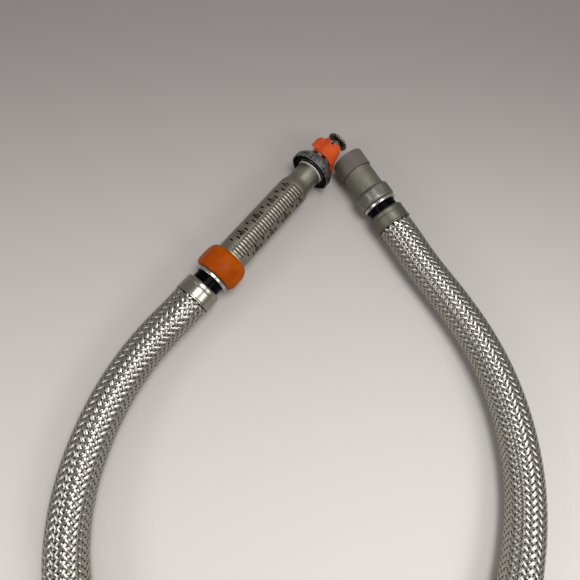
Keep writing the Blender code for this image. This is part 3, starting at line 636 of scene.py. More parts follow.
def coat_finish(name, colour, worn, roughness, gloss):
    """Paint or moulded plastic: a faint orange peel, cloudy tone and slightly worn colour."""
    material, tree, shader = new_shader(name, colour, 0.0, roughness)
    shader.inputs["Specular IOR Level"].default_value = gloss
    place = object_place(tree)
    cloud = noise(tree, place, 70.0, 4.0, 0.6)
    share = ranged(tree, cloud, 0.35, 0.8, 0.0, 1.0)
    tree.links.new(blended(tree, share, colour, worn), shader.inputs["Base Color"])
    peel = noise(tree, place, 1400.0, 2.0)
    uneven = ranged(tree, cloud, 0.2, 0.8, roughness - 0.05, roughness + 0.08)
    tree.links.new(uneven, shader.inputs["Roughness"])
    bumped(tree, shader, peel, 0.10, 0.0001)
    return material


def ribbon_finish():
    """Wires of a ribbon: round ridges across it, one per wire, painted shade between them, fine
    streaks along.
    """
    material, tree, shader = new_shader("ribbon_wires", (0.50, 0.48, 0.44), 1.0, 0.24)
    place = add_node(tree, "ShaderNodeTexCoord").outputs["UV"]
    parts = add_node(tree, "ShaderNodeSeparateXYZ", [(0, place)])
    across = arithmetic(tree, "MULTIPLY", parts.outputs["Y"], float(RIBBON_WIRES))
    phase = arithmetic(tree, "FRACT", across)
    round_wire = arithmetic(tree, "SINE", arithmetic(tree, "MULTIPLY", phase, pi))
    wire_gap_shade = ranged(tree, round_wire, 0.0, 0.55, 0.35, 1.0)
    streak = noise(tree, surface_place(tree, (40.0, float(RIBBON_WIRES), 1.0)), 3.0, 2.0)
    tone = ranged(tree, streak, 0.3, 0.7, 0.0, 1.0)
    steel = blended(tree, tone, (0.32, 0.305, 0.27), (0.52, 0.50, 0.455))
    # Painted shade: the gaps between the wires are darkened towards near black
    dark = blended(tree, wire_gap_shade, (0.08, 0.075, 0.065), steel)
    tree.links.new(dark, shader.inputs["Base Color"])
    bumped(tree, shader, round_wire, 0.22, 0.00012)
    return material


def glass_finish():
    """Clear glass bulb with a red liquid, shown as one red transmitting body."""
    material, tree, shader = new_shader("bulb_glass", (0.45, 0.02, 0.012), 0.0, 0.04)
    shader.inputs["Transmission Weight"].default_value = 0.55
    shader.inputs["IOR"].default_value = 1.45
    cloud = noise(tree, object_place(tree), 200.0, 2.0)
    bumped(tree, shader, cloud, 0.02, 0.0001)
    return material


def scaled_finish():
    """Dark scaly inside of the escutcheon ring: small cells of uneven tone and height."""
    material, tree, shader = new_shader("dark_scaled_metal", (0.06, 0.06, 0.062), 1.0, 0.34)
    cells = cell_distance(tree, object_place(tree), 700.0)
    share = ranged(tree, cells, 0.0, 0.6, 0.0, 1.0)
    tree.links.new(
        blended(tree, share, (0.34, 0.33, 0.34), (0.03, 0.03, 0.03)), shader.inputs["Base Color"]
    )
    bumped(tree, shader, cells, 0.6, 0.0006)
    return material


def floor_painted_light_finish():
    """Pale matt floor with painted light: shaded far off, lit towards the camera's near side."""
    material, tree, shader = new_shader("pale_floor_painted_light", FLOOR_LIT_COLOUR, 0.0, 0.75)
    shader.inputs["Specular IOR Level"].default_value = 0.15
    lit_side = add_node(
        tree, "ShaderNodeVectorMath", [(0, object_place(tree)), (1, FLOOR_LIT_WAY)],
        operation="DOT_PRODUCT",
    ).outputs["Value"]
    share = ranged(tree, lit_side, FLOOR_SHADED_PLACE, FLOOR_LIT_PLACE, 0.0, 1.0)
    share.node.interpolation_type = "SMOOTHSTEP"
    # Painted light: the floor's tone goes from painted shade to painted light
    tone = blended(tree, share, FLOOR_SHADED_COLOUR, FLOOR_LIT_COLOUR)
    tree.links.new(tone, shader.inputs["Base Color"])
    return material


def blotched_finish():
    """Tarnished plating: bright and dark blotches broken up by small cells."""
    material, tree, shader = new_shader("blotched_plating", (0.30, 0.30, 0.31), 1.0, 0.30)
    place = object_place(tree)
    cloud = noise(tree, place, 240.0, 5.0, 0.7)
    cells = cell_distance(tree, place, 900.0)
    mixed = arithmetic(tree, "ADD", cloud, arithmetic(tree, "MULTIPLY", cells, 0.25))
    share = ranged(tree, mixed, 0.42, 0.78, 0.0, 1.0)
    tone = blended(tree, share, (0.42, 0.42, 0.41), (0.055, 0.053, 0.058))
    tree.links.new(tone, shader.inputs["Base Color"])
    tree.links.new(ranged(tree, cloud, 0.3, 0.7, 0.26, 0.44), shader.inputs["Roughness"])
    bumped(tree, shader, cells, 0.25, 0.0003)
    return material


def ribbed_finish():
    """Zinc plate with painted shade in the valleys between the ridges, smoother on their crests."""
    material = metal_finish("ribbed_zinc_plate", (0.32, 0.30, 0.25), (0.235, 0.22, 0.18), 0.46)
    tree = material.node_tree
    shader = tree.nodes["Principled BSDF"]
    # Painted shade: the valleys between the ridges are darkened towards near black
    valley_shade = add_node(tree, "ShaderNodeAttribute", attribute_name="valley_shade").outputs["Fac"]
    base = shader.inputs["Base Color"].links[0].from_socket
    tone = blended(tree, valley_shade, base, (0.045, 0.042, 0.034))
    tree.links.new(tone, shader.inputs["Base Color"])
    crest = add_node(tree, "ShaderNodeAttribute", attribute_name="crest").outputs["Fac"]
    rough = shader.inputs["Roughness"].links[0].from_socket
    polished = arithmetic(tree, "SUBTRACT", rough, arithmetic(tree, "MULTIPLY", crest, 0.13))
    tree.links.new(polished, shader.inputs["Roughness"])
    return material


FINISHES = {
    "ribbed": ribbed_finish(),
    "zinc": metal_finish("zinc_plate", (0.26, 0.255, 0.23), (0.17, 0.165, 0.15), 0.44),
    "nipple": metal_finish("dull_zinc_plate", (0.25, 0.24, 0.195), (0.195, 0.185, 0.15), 0.62),
    "ring": metal_finish("turned_steel", (0.56, 0.54, 0.49), (0.38, 0.365, 0.33), 0.24),
    "ferrule": metal_finish("pressed_steel", (0.38, 0.36, 0.31), (0.27, 0.255, 0.22), 0.28),
    # Painted shade: the branch ferrule's pressed steel is a darker copy of the sprinkler ferrule's,
    # and rougher
    "dull_shaded_steel": metal_finish("dull_pressed_steel_painted_shade", (0.20, 0.19, 0.16), (0.145, 0.137, 0.115), 0.50),
    "steel": metal_finish("stainless_steel", (0.40, 0.38, 0.34), (0.32, 0.30, 0.27), 0.35),
    "chrome": metal_finish("bright_plating", (0.42, 0.42, 0.41), (0.17, 0.17, 0.17), 0.24),
    "brass": metal_finish("plain_brass", (0.70, 0.50, 0.20), (0.60, 0.42, 0.16), 0.30),
    "deflector": metal_finish("darkened_metal", (0.22, 0.17, 0.13), (0.04, 0.03, 0.022), 0.40),
    "orange": coat_finish("orange_coating", (0.30, 0.045, 0.0003), (0.45, 0.088, 0.001), 0.38, 0.06),
    "red": coat_finish("red_orange_plastic", (0.46, 0.050, 0.010), (0.62, 0.092, 0.016), 0.40, 0.18),
    "grey": coat_finish("grey_plastic", (0.125, 0.112, 0.097), (0.10, 0.088, 0.077), 0.45, 0.3),
    "bead": coat_finish("pale_sealing_bead", (0.72, 0.70, 0.64), (0.58, 0.56, 0.51), 0.35, 0.5),
    "rubber": coat_finish("black_rubber", (0.001, 0.001, 0.001), (0.003, 0.002, 0.003), 0.26, 0.03),
    "print": coat_finish("black_print", (0.002, 0.002, 0.002), (0.004, 0.004, 0.004), 0.6, 0.04),
    # Painted shade: the hose's core is near black so that the gaps in the braid read as deep shadow
    "painted_shade_core": coat_finish("hose_core_painted_shade", (0.004, 0.004, 0.003), (0.008, 0.007, 0.006), 0.6, 0.1),
    "scaled": scaled_finish(),
    "blotched": blotched_finish(),
    "ribbon": ribbon_finish(),
    "glass": glass_finish(),
}


# Camera, floor and light

def set_place(obj, side, up, back, place):
    """Put an object at a place, with its X, Y and Z along three directions, and show it."""
    matrix = Matrix.Identity(4)
    for column, axis in enumerate((side, up, back, place)):
        for row in range(3):
            matrix[row][column] = axis[row]
    obj.matrix_world = matrix
    bpy.context.scene.collection.objects.link(obj)


def add_camera():
    """The camera at its place, with X to the right, Y up and Z behind it."""
    forward = np.array(CAMERA_FORWARD) / np.linalg.norm(CAMERA_FORWARD)
    right = np.array(CAMERA_RIGHT) - forward * np.dot(CAMERA_RIGHT, forward)
    right = right / np.linalg.norm(right)
    up = np.cross(right, forward)
    data = bpy.data.cameras.new("camera")
    data.lens = CAMERA_LENS
    data.sensor_width = CAMERA_SENSOR
    data.sensor_fit = "HORIZONTAL"
    data.clip_start = 0.01
    camera = bpy.data.objects.new("camera", data)
    set_place(camera, right, up, -forward, CAMERA_PLACE)
    bpy.context.scene.camera = camera


def add_floor():
    """A flat pale floor just under the object."""
    sides = [(-1, -1), (1, -1), (1, 1), (-1, 1)]
    corners = [(x * FLOOR_HALF, y * FLOOR_HALF, -FLOOR_DROP) for x, y in sides]
    mesh = bpy.data.meshes.new("floor")
    mesh.from_pydata(corners, [], [(0, 1, 2, 3)])
    floor = bpy.data.objects.new("floor", mesh)
    floor.data.materials.append(floor_painted_light_finish())
    bpy.context.scene.collection.objects.link(floor)


def add_lamp(name, place, size, power):
    """A square soft light that faces LAMP_TARGET."""
    data = bpy.data.lights.new(name, "AREA")
    data.shape = "SQUARE"
    data.size = size
    data.energy = power
    lamp = bpy.data.objects.new(name, data)
    way = np.array(LAMP_TARGET) - np.array(place)
    back = -way / np.linalg.norm(way)
    side = np.cross((0.0, 1.0, 0.0), back)
    side = side / np.linalg.norm(side)
    up = np.cross(back, side)
    set_place(lamp, side, up, back, place)


def add_light():
    """Even studio light: a pale world and three soft lamps."""
    world = bpy.data.worlds.new("studio")
    world.use_nodes = True
    background = world.node_tree.nodes["Background"]
    background.inputs["Color"].default_value = WORLD_COLOUR
    background.inputs["Strength"].default_value = WORLD_STRENGTH
    bpy.context.scene.world = world
    for lamp in LAMPS:
        add_lamp(*lamp)


# Hose

def smooth_curve(points, start_way, end_way, samples):
    """Points along the cubic spline through the given points, with set end directions.

    The spline's parameter is the chord length, and its slopes come from one linear system
    that makes its curvature continuous.
    """
    points = np.array(points)
    chords = np.linalg.norm(np.diff(points, axis=0), axis=1)
    count = len(points)
    system = np.zeros((count, count))
    right = np.zeros((count, 3))
    system[0, 0] = system[-1, -1] = 1.0
    right[0] = start_way
    right[-1] = end_way
    for row in range(1, count - 1):
        before, after = chords[row - 1], chords[row]
        system[row, row - 1:row + 2] = (after, 2 * (before + after), before)
        right[row] = 3 * (
            after * (points[row] - points[row - 1]) / before
            + before * (points[row + 1] - points[row]) / after
        )
    slopes = np.linalg.solve(system, right)
    knots = np.concatenate(([0.0], np.cumsum(chords)))
    places = np.linspace(0.0, knots[-1], samples)
    index = np.clip(np.searchsorted(knots, places, side="right") - 1, 0, count - 2)
    span = chords[index][:, None]
    t = ((places - knots[index])[:, None]) / span
    return (
        (2 * t ** 3 - 3 * t ** 2 + 1) * points[index]
        + (t ** 3 - 2 * t ** 2 + t) * span * slopes[index]
        + (3 * t ** 2 - 2 * t ** 3) * points[index + 1]
        + (t ** 3 - t ** 2) * span * slopes[index + 1]
    )


def hose_start(joint):
    """How far behind the nut's rear face the hose begins."""
    travel = joint["turns"] * THREAD_PITCH
    return -(3 * GAP + joint["ring_length"] + travel + SLEEVE_RUN_OUT + FERRULE_LENGTH)


def hose_line(sprinkler_end, branch_end):
    """Evenly spaced points of the hose's line with its distance, side and upper directions."""
    start = placed(np.array((hose_start(SPRINKLER_JOINT), 0.0, 0.0)), sprinkler_end)
    finish = placed(np.array((hose_start(BRANCH_JOINT), 0.0, 0.0)), branch_end)
    start_way = -sprinkler_end[1][0]
    end_way = branch_end[1][0]
    leaving = start + start_way * HOSE_STRAIGHT
    arriving = finish - end_way * HOSE_STRAIGHT
    fine = smooth_curve([leaving, *HOSE_ROUTE, arriving], start_way, end_way, HOSE_SAMPLES)
    fine = np.vstack([start, fine, finish])
    distance = np.concatenate(([0.0], np.cumsum(np.linalg.norm(np.diff(fine, axis=0), axis=1))))
    wanted = np.linspace(0.0, distance[-1], HOSE_SAMPLES)
    line = np.stack([np.interp(wanted, distance, fine[:, axis]) for axis in range(3)], axis=1)
    line[:, 2] = np.maximum(line[:, 2], HOSE_HEIGHT)
    way = np.gradient(line, axis=0)
    way = way / np.linalg.norm(way, axis=1)[:, None]
    side = np.cross((0.0, 0.0, 1.0), way)
    side = side / np.linalg.norm(side, axis=1)[:, None]
    return wanted, line, side, np.cross(way, side)


def on_hose(hose, distance, angle, radius):
    """The point at a distance along the hose, an angle from its side and a radius."""
    along, line, side, upper = hose
    kept = np.clip(distance, along[0], along[-1])
    centre, left, top = (
        np.stack([np.interp(kept, along, field[:, axis]) for axis in range(3)], axis=-1)
        for field in (line, side, upper)
    )
    angle = angle[..., None]
    return centre + radius[..., None] * (np.cos(angle) * left + np.sin(angle) * top)


def hose_core(hose):
    """The braid's tube, painted near black as shade: a circle carried along the hose's line."""
    distance = np.linspace(0.0, hose[0][-1], CORE_ROWS)
    angle = np.linspace(0.0, 2 * pi, CORE_COLUMNS, endpoint=False)
    s, a = np.meshgrid(distance, angle, indexing="ij")
    return patch(on_hose(hose, s, a, np.full(s.shape, CORE_RADIUS)), wrap_rows=False)


def ribbon_patches(hose, hand):
    """The flat ribbons of one hand.

    Ribbon i stands at the angle 2 pi i / RIBBONS plus the hand times the distance times
    tan(BRAID_ANGLE) / HOSE_RADIUS. It crosses a ribbon of the other hand at each multiple of
    pi / RIBBONS, and its height is plus or minus RIBBON_RISE, two crossings at a time.
    """
    middle_radius = HOSE_RADIUS - RIBBON_THICKNESS / 2 - RIBBON_RISE
    turn_rate = np.tan(BRAID_ANGLE) / HOSE_RADIUS
    crossing = pi / RIBBONS
    step = crossing / 2 / turn_rate
    length = hose[0][-1]
    inner = (np.arange(int(length / step - 1.0)) + 0.5) * step
    distance = np.concatenate(([0.0], inner, [length]))
    across = np.array(RIBBON_SECTION_ACROSS) * RIBBON_WIDTH
    rise = np.array(RIBBON_SECTION_HEIGHT) * RIBBON_THICKNESS
    share = across / RIBBON_WIDTH + 0.5
    around = np.append(share, share[0])
    patches = []
    for number in range(RIBBONS):
        angle = 2 * pi * number / RIBBONS + hand * turn_rate * distance
        over = np.where(np.round(angle / crossing).astype(int) % 4 < 2, 1.0, -1.0)
        radius = middle_radius + hand * over * RIBBON_RISE
        s = distance[:, None] - hand * across[None, :] * sin(BRAID_ANGLE)
        a = angle[:, None] + across[None, :] * cos(BRAID_ANGLE) / HOSE_RADIUS
        r = radius[:, None] + rise[None, :]
        patches.append(patch(
            on_hose(hose, s, a, r), wrap_rows=False,
            along=distance / cos(BRAID_ANGLE), around=around,
        ))
    return patches


def add_hose(sprinkler_end, branch_end):
    """The declared hose: a core painted black as shade, with the braid's two sets of ribbons on it.
    """
    hose = hose_line(sprinkler_end, branch_end)
    painted_shade_core = add_piece(
        "hose_core", [hose_core(hose)], FINISHES["painted_shade_core"], "hose_set", ["hose"]
    )
    braid = [
        add_piece(
            name, ribbon_patches(hose, hand), FINISHES["ribbon"], "hose_set",
            sharp=60.0,
        )
        for name, hand in (("braid_right_hand", 1), ("braid_left_hand", -1))
    ]


# Joints of hose and nut

def nut_patch(joint, end):
    """A hexagon nut: the lesser of the hexagon's radius and a rounded blank's, at each angle.

    The hexagon's radius is half its width over flats divided by the cosine of the angle from
    the nearest flat's middle.
    """
    rear_bore = joint["sleeve"] + RUNNING_GAP
    bore = joint["thread"] + THREAD_GAP
    length, corner, rounding = joint["length"], joint["corner"], joint["rounding"]
    rear_ease, front_ease = joint["rear_ease"], joint["front_ease"]
    blank = [
        (0.0, rear_bore),
        (0.0, corner - rounding),
        (rear_ease * NUT_EASE_SHARE, corner - rounding * NUT_ROUNDING_SHARE),
        (rear_ease, corner),
        (length - front_ease, corner),
        (length - front_ease * NUT_EASE_SHARE, corner - rounding * NUT_ROUNDING_SHARE),
        (length, corner - rounding),
        (length, bore),
        (NUT_REAR_WALL, bore),
        (NUT_REAR_WALL, rear_bore),
    ]

    def radius(x, r, a):
        from_flat = (a + pi / 6) % (pi / 3) - pi / 6
        hexagon = joint["flats"] / 2 / np.cos(from_flat)
        return soft_least(hexagon, r, joint["softness"])

    profile = eased(blank, NUT_EASING)
    long_face = np.linspace(profile[3, -1], profile[4, 0], NUT_FACE_ROWS)[1:-1]
    rows = np.concatenate([profile[:4].reshape(-1, 2), long_face, profile[4:].reshape(-1, 2)])
    return revolved(rows, end, NUT_COLUMNS, radius)


def ferrule_patch(start, end):
    """A pressed ferrule: a raised lip at the braid, one shallow crimp and a rounded nose."""
    finish = start + FERRULE_LENGTH
    lip = FERRULE_RADIUS + FERRULE_LIP_HEIGHT
    crimp = finish - FERRULE_CRIMP_PLACE
    corners = [
        (start, STUB_RADIUS + GAP),
        (start, lip),
        (start + FERRULE_LIP_LENGTH, lip),
        (start + FERRULE_LIP_LENGTH + FERRULE_LIP_FALL, FERRULE_RADIUS - FERRULE_RECESS),
        (crimp - FERRULE_CRIMP_HALF, FERRULE_RADIUS),
        (crimp, FERRULE_RADIUS - FERRULE_CRIMP_DEPTH),
        (crimp + FERRULE_CRIMP_HALF, FERRULE_RADIUS),
        (finish - FERRULE_NOSE_LENGTH, FERRULE_RADIUS),
        (finish, FERRULE_RADIUS - FERRULE_NOSE_FALL),
        (finish, STUB_RADIUS + GAP),
    ]
    return revolved(outline(corners), end)


def add_joint(prefix, joint, end, ring_name, nut_name, nut_finish, ferrule_finish):
    """Ferrule, stub, black sleeve, gasket, ring and nut of one hose end."""
    ferrule_start = hose_start(joint) + GAP
    sleeve_start = ferrule_start + FERRULE_LENGTH + GAP
    rear_bore = joint["sleeve"] + RUNNING_GAP
    flange_radius = joint["thread"] + THREAD_GAP - RUNNING_GAP
    flange_start = NUT_REAR_WALL + GAP
    flange_end = flange_start + STUB_FLANGE_LENGTH
    gasket_start = flange_end + GAP
    stub = [
        (ferrule_start, STUB_BORE_RADIUS),
        (ferrule_start, STUB_RADIUS),
        (flange_start, STUB_RADIUS),
        (flange_start, flange_radius),
        (flange_end, flange_radius),
        (flange_end, STUB_BORE_RADIUS),
    ]
    sleeve = plain_ring(
        sleeve_start, NUT_REAR_WALL, STUB_RADIUS + GAP, joint["sleeve"], SLEEVE_EASING, end
    )
    gasket = plain_ring(
        gasket_start, gasket_start + GASKET_LENGTH, STUB_BORE_RADIUS, flange_radius, EASING, end
    )
    for name, surface, finish, node, slot in (
        ("hose_ferrule", ferrule_patch(ferrule_start, end), ferrule_finish, "ferrule", "ferrule"),
        ("pipe_stub", revolved(outline(stub, STUB_EASING), end), FINISHES["steel"], "stub", "steel"),
        ("black_sleeve", sleeve, FINISHES["rubber"], "isolation_sleeve", "rubber"),
        ("seal", gasket, FINISHES["rubber"], "gasket", "rubber"),
    ):
        add_piece(f"{prefix}_{name}", [surface], finish, "hose_set", [f"{prefix}_{node}"])
    ring = plain_ring(
        -GAP - joint["ring_length"], -GAP, rear_bore, joint["ring"], THRUST_RING_EASING, end
    )
    add_piece(
        f"{ring_name}_turned", [ring], FINISHES["ring"], f"{nut_name}_carriage", [ring_name],
    )
    add_piece(
        f"{nut_name}_hexagon", [nut_patch(joint, end)], nut_finish, nut_name, [nut_name],
        sharp=50.0,
    )


# Reducer and its scale

def ridge_band(x, r, a):
    """Where the ridges are, from 0 to 1: on the body's skin, faded out at the band's two sides."""
    angle = (a + pi) % (2 * pi) - pi
    inside = (RIDGE_BAND_HALF - np.abs(angle - RIDGE_BAND_MIDDLE)) / RIDGE_FADE
    along = (x > RIDGE_FIRST - RIDGE_PITCH / 2) & (x < RIDGE_LAST)
    return np.clip(inside, 0.0, 1.0) * (along & (r > REDUCER_BODY_RADIUS - SKIN_DEPTH))


def reducer_patch(end):
    """The reducer: a turned outline, ridges on one band and a thread on the spigot.

    Within the band a ridge adds RIDGE_HEIGHT (1 + tanh(s cos(2 pi (x - first) / pitch))) / 2,
    where s is RIDGE_STEEPNESS.
    """
    rim_start = REDUCER_REACH - REDUCER_RIM_LENGTH
    thread_radius = SPRINKLER_JOINT["thread"]
    corners = [
        (PIPE_FACE, REDUCER_BORE_RADIUS),
        (PIPE_FACE, thread_radius - REDUCER_THREAD_TAPER),
        (SPIGOT_END, thread_radius),
        (SPIGOT_END, REDUCER_BODY_RADIUS),
        (REDUCER_BODY_END, REDUCER_BODY_RADIUS),
        (REDUCER_NECK_START, REDUCER_NECK_RADIUS),
        (rim_start, REDUCER_NECK_RADIUS),
        (rim_start + REDUCER_RIM_SLOPE, REDUCER_RIM_RADIUS),
        (REDUCER_REACH, REDUCER_RIM_RADIUS),
        (REDUCER_REACH, OUTLET_RADIUS),
        (REDUCER_REACH - OUTLET_DEPTH, OUTLET_RADIUS),
        (REDUCER_REACH - OUTLET_DEPTH, REDUCER_BORE_RADIUS),
    ]
    profile = eased(corners, REDUCER_EASING)
    thread = np.linspace(profile[1, -1], profile[2, 0], REDUCER_THREAD_ROWS)[1:-1]
    body = np.linspace(profile[3, -1], profile[4, 0], REDUCER_BODY_ROWS)[1:-1]
    rows = np.concatenate([
        profile[:2].reshape(-1, 2), thread, profile[2:4].reshape(-1, 2), body,
        profile[4:].reshape(-1, 2),
    ])

    def radius(x, r, a):
        phase = 2 * pi * (x - RIDGE_FIRST) / RIDGE_PITCH
        wave = 0.5 + 0.5 * np.tanh(RIDGE_STEEPNESS * np.cos(phase))
        spigot = (x < SPIGOT_END - THREAD_MARGIN) & (x > PIPE_FACE + THREAD_MARGIN)
        threaded = spigot & (r > REDUCER_BODY_RADIUS - SKIN_DEPTH)
        ridged = r + RIDGE_HEIGHT * wave * ridge_band(x, r, a)
        return ridged - np.where(threaded, thread_form(x, a), 0.0)

    return revolved(rows, end, REDUCER_COLUMNS, radius)


def mark_ridges(obj, end):
    """Attributes of the reducer's points: how much painted valley shade and how much crest each one
    has.

    Within the band the painted valley shade is (1 - tanh(s cos(2 pi (x - first) / pitch) + w)) / 2,
    where s is
    VALLEY_STEEPNESS and w is VALLEY_WIDENING, and the crest is the rest of 1.
    """
    origin, axes = end
    flat = np.empty(3 * len(obj.data.vertices))
    obj.data.vertices.foreach_get("co", flat)
    x, y, z = ((flat.reshape(-1, 3) - origin) @ axes.T).T
    band = ridge_band(x, np.hypot(y, z), np.arctan2(y, z))
    phase = 2 * pi * (x - RIDGE_FIRST) / RIDGE_PITCH
    valley_shade = 0.5 - 0.5 * np.tanh(VALLEY_STEEPNESS * np.cos(phase) + VALLEY_WIDENING)
    for name, value in (("valley_shade", valley_shade), ("crest", 1.0 - valley_shade)):
        layer = obj.data.attributes.new(name, "FLOAT", "POINT")
        layer.data.foreach_set("value", value * band)


def tick_patch(x, angle, end):
    """One printed tick: a thin slab bent round the reducer's body."""
    width, length = SCALE_TICK
    half = length / 2 / REDUCER_BODY_RADIUS
    a = np.linspace(angle - half, angle + half, SCALE_TICK_STEPS)
    section_x = np.array((-0.5, 0.5, 0.5, -0.5)) * width + x
    section_r = REDUCER_BODY_RADIUS + np.array((-1, -1, 1, 1)) * PRINT_PROUD
    return patch(placed(round_line(section_x, section_r, a[:, None]), end), wrap_rows=False)


def cut_level(mesh, height):
    """Cut a flat mesh across at even heights, so that it can be bent."""
    grid = bmesh.new()
    grid.from_mesh(mesh)
    for y in np.linspace(-height / 2, height / 2, NUMBER_CUTS):
        bmesh.ops.bisect_plane(
            grid, geom=grid.verts[:] + grid.edges[:] + grid.faces[:],
            plane_co=(0.0, y, 0.0), plane_no=(0.0, 1.0, 0.0),
        )
    grid.to_mesh(mesh)
    grid.free()


def number_patch(text, x, angle, end):
    """A printed number, bent round the body: its baseline runs along the reducer."""
    curve = bpy.data.curves.new("number", "FONT")
    curve.body = text
    curve.size = SCALE_LABEL_SIZE
    curve.extrude = PRINT_PROUD
    curve.offset = SCALE_LABEL_STROKE
    curve.resolution_u = 2
    curve.align_x = "CENTER"
    curve.align_y = "CENTER"
    holder = bpy.data.objects.new("number", curve)
    mesh = bpy.data.meshes.new_from_object(holder)
    cut_level(mesh, SCALE_LABEL_SIZE)
    flat = np.empty(3 * len(mesh.vertices))
    mesh.vertices.foreach_get("co", flat)
    flat = flat.reshape(-1, 3)
    faces = [list(face.vertices) for face in mesh.polygons]
    bpy.data.objects.remove(holder)
    bpy.data.curves.remove(curve)
    bpy.data.meshes.remove(mesh)
    a = angle + flat[:, 1] / REDUCER_BODY_RADIUS
    r = REDUCER_BODY_RADIUS + flat[:, 2]
    return placed(round_line(x + flat[:, 0], r, a), end), faces


def joined(parts):
    """Points and faces of several meshes as one."""
    points, faces = [], []
    offset = 0
    for part_points, part_faces in parts:
        points.append(part_points)
        faces.extend([[corner + offset for corner in face] for face in part_faces])
        offset += len(part_points)
    return np.concatenate(points), faces


def add_scale(end):
    """Two printed scales along the reducer: ticks in four rows, and numbers by every second."""
    stations = np.arange(SCALE_FIRST, SCALE_LAST, SCALE_PITCH)
    ticks = [
        tick_patch(x - shift * SCALE_PITCH, angle, end)
        for angle, shift in SCALE_ROWS
        for x in stations
        if x - shift * SCALE_PITCH > SCALE_FIRST - SCALE_PITCH / 10
    ]
    add_piece("scale_ticks", ticks, FINISHES["print"], "hose_set")
    points, faces = joined([
        number_patch(text, x, angle, end)
        for angle in SCALE_LABEL_ROWS
        for text, x in zip(SCALE_LABELS, stations[1::2])
    ])
    mesh = bpy.data.meshes.new("scale_numbers")
    mesh.from_pydata(points, [], faces)
    mesh.materials.append(FINISHES["print"])
    printed = bpy.data.objects.new("scale_numbers", mesh)
    bpy.context.scene.collection.objects.link(printed)
    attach(printed, "hose_set")


def add_reducer(end):
    """The ribbed reducer and the pale bead round its outlet."""
    reducer = add_piece(
        "reducer_ribbed", [reducer_patch(end)], FINISHES["ribbed"], "hose_set", ["reducer"],
        sharp=40.0,
    )
    mark_ridges(reducer, end)
    bead = plain_ring(
        REDUCER_REACH - REDUCER_RIM_LENGTH + GAP, REDUCER_REACH + BEAD_PROUD,
        OUTLET_RADIUS + BEAD_WALL, REDUCER_RIM_RADIUS + BEAD_PROUD, BEAD_EASING, end,
    )
    add_piece("outlet_bead", [bead], FINISHES["bead"], "hose_set")


# Nipple and thread protector

def add_nipple(end):
    """The branch-line nipple, threaded under the nut, and the plastic sleeve on its far end."""
    corners = [
        (PIPE_FACE, NIPPLE_BORE_RADIUS),
        (PIPE_FACE, BRANCH_JOINT["thread"]),
        (BRANCH_JOINT["length"] - NIPPLE_THREAD_END, BRANCH_JOINT["thread"]),
        (BRANCH_JOINT["length"], NIPPLE_RADIUS),
        (NIPPLE_REACH, NIPPLE_RADIUS),
        (NIPPLE_REACH, NIPPLE_BORE_RADIUS),
    ]
    profile = eased(corners, EASING)
    thread = np.linspace(profile[1, -1], profile[2, 0], NIPPLE_THREAD_ROWS)[1:-1]
    rows = np.concatenate([profile[:2].reshape(-1, 2), thread, profile[2:].reshape(-1, 2)])

    def radius(x, r, a):
        before_end = x < BRANCH_JOINT["length"] - NIPPLE_THREAD_MARGIN
        threaded = before_end & (r > NIPPLE_RADIUS - GAP)
        return r - np.where(threaded, thread_form(x, a), 0.0)

    add_piece(
        "nipple_pipe", [revolved(rows, end, TURN_COLUMNS, radius)], FINISHES["nipple"],
        "hose_set", ["nipple"],
    )
    inner = NIPPLE_RADIUS + GAP
    start = NIPPLE_REACH - PROTECTOR_LENGTH
    # Painted shade: two thin black bands at the nut's front edge and the protector's rear edge stand
    # for the shadow lines there
    low, high = NIPPLE_RADIUS - GAP, NIPPLE_RADIUS + SHADOW_LINE_PROUD
    shadow_lines = [
        plain_ring(x, x + SHADOW_LINE_WIDTH, low, high, SHADOW_LINE_EASING, end)
        for x in (BRANCH_JOINT["length"] + SHADOW_LINE_SETBACK, start - SHADOW_LINE_WIDTH)
    ]
    add_piece("nipple_painted_shadow_lines", shadow_lines, FINISHES["rubber"], "hose_set")
    sleeve = plain_ring(start, NIPPLE_REACH, inner, inner + PROTECTOR_WALL, EASING, end)
    add_piece(
        "protector_sleeve", [sleeve], FINISHES["grey"], "hose_set", ["thread_protector"]
    )


# Sprinkler

def arm_patch(side, end):
    """One frame arm: a rounded bar that leaves the boss, bows out and closes on the end boss.

    It stands ARM_SPREAD from the axis and comes in by the power ARM_CLOSING_POWER of its
    share past ARM_CLOSING_START.
    """
    start = BOSS_END - ARM_OVERLAP
    finish = END_BOSS_END - ARM_OVERLAP
    share = np.linspace(0.0, 1.0, ARM_STEPS)
    closing = np.maximum(0.0, (share - ARM_CLOSING_START) / (1.0 - ARM_CLOSING_START))
    y = side * (ARM_SPREAD - (ARM_SPREAD - ARM_FOOT) * closing ** ARM_CLOSING_POWER)
    section = outline([
        (-ARM_HALF_WIDTH, -ARM_HALF_HEIGHT),
        (ARM_HALF_WIDTH, -ARM_HALF_HEIGHT),
        (ARM_HALF_WIDTH, ARM_HALF_HEIGHT),
        (-ARM_HALF_WIDTH, ARM_HALF_HEIGHT),
    ], ARM_EASING)
    x = start + (finish - start) * share
    local = np.stack([
        np.repeat(x[:, None], len(section), axis=1),
        y[:, None] + section[None, :, 0],
        np.broadcast_to(section[:, 1], (len(x), len(section))),
    ], axis=2)
    return patch(placed(local, end), wrap_rows=False)


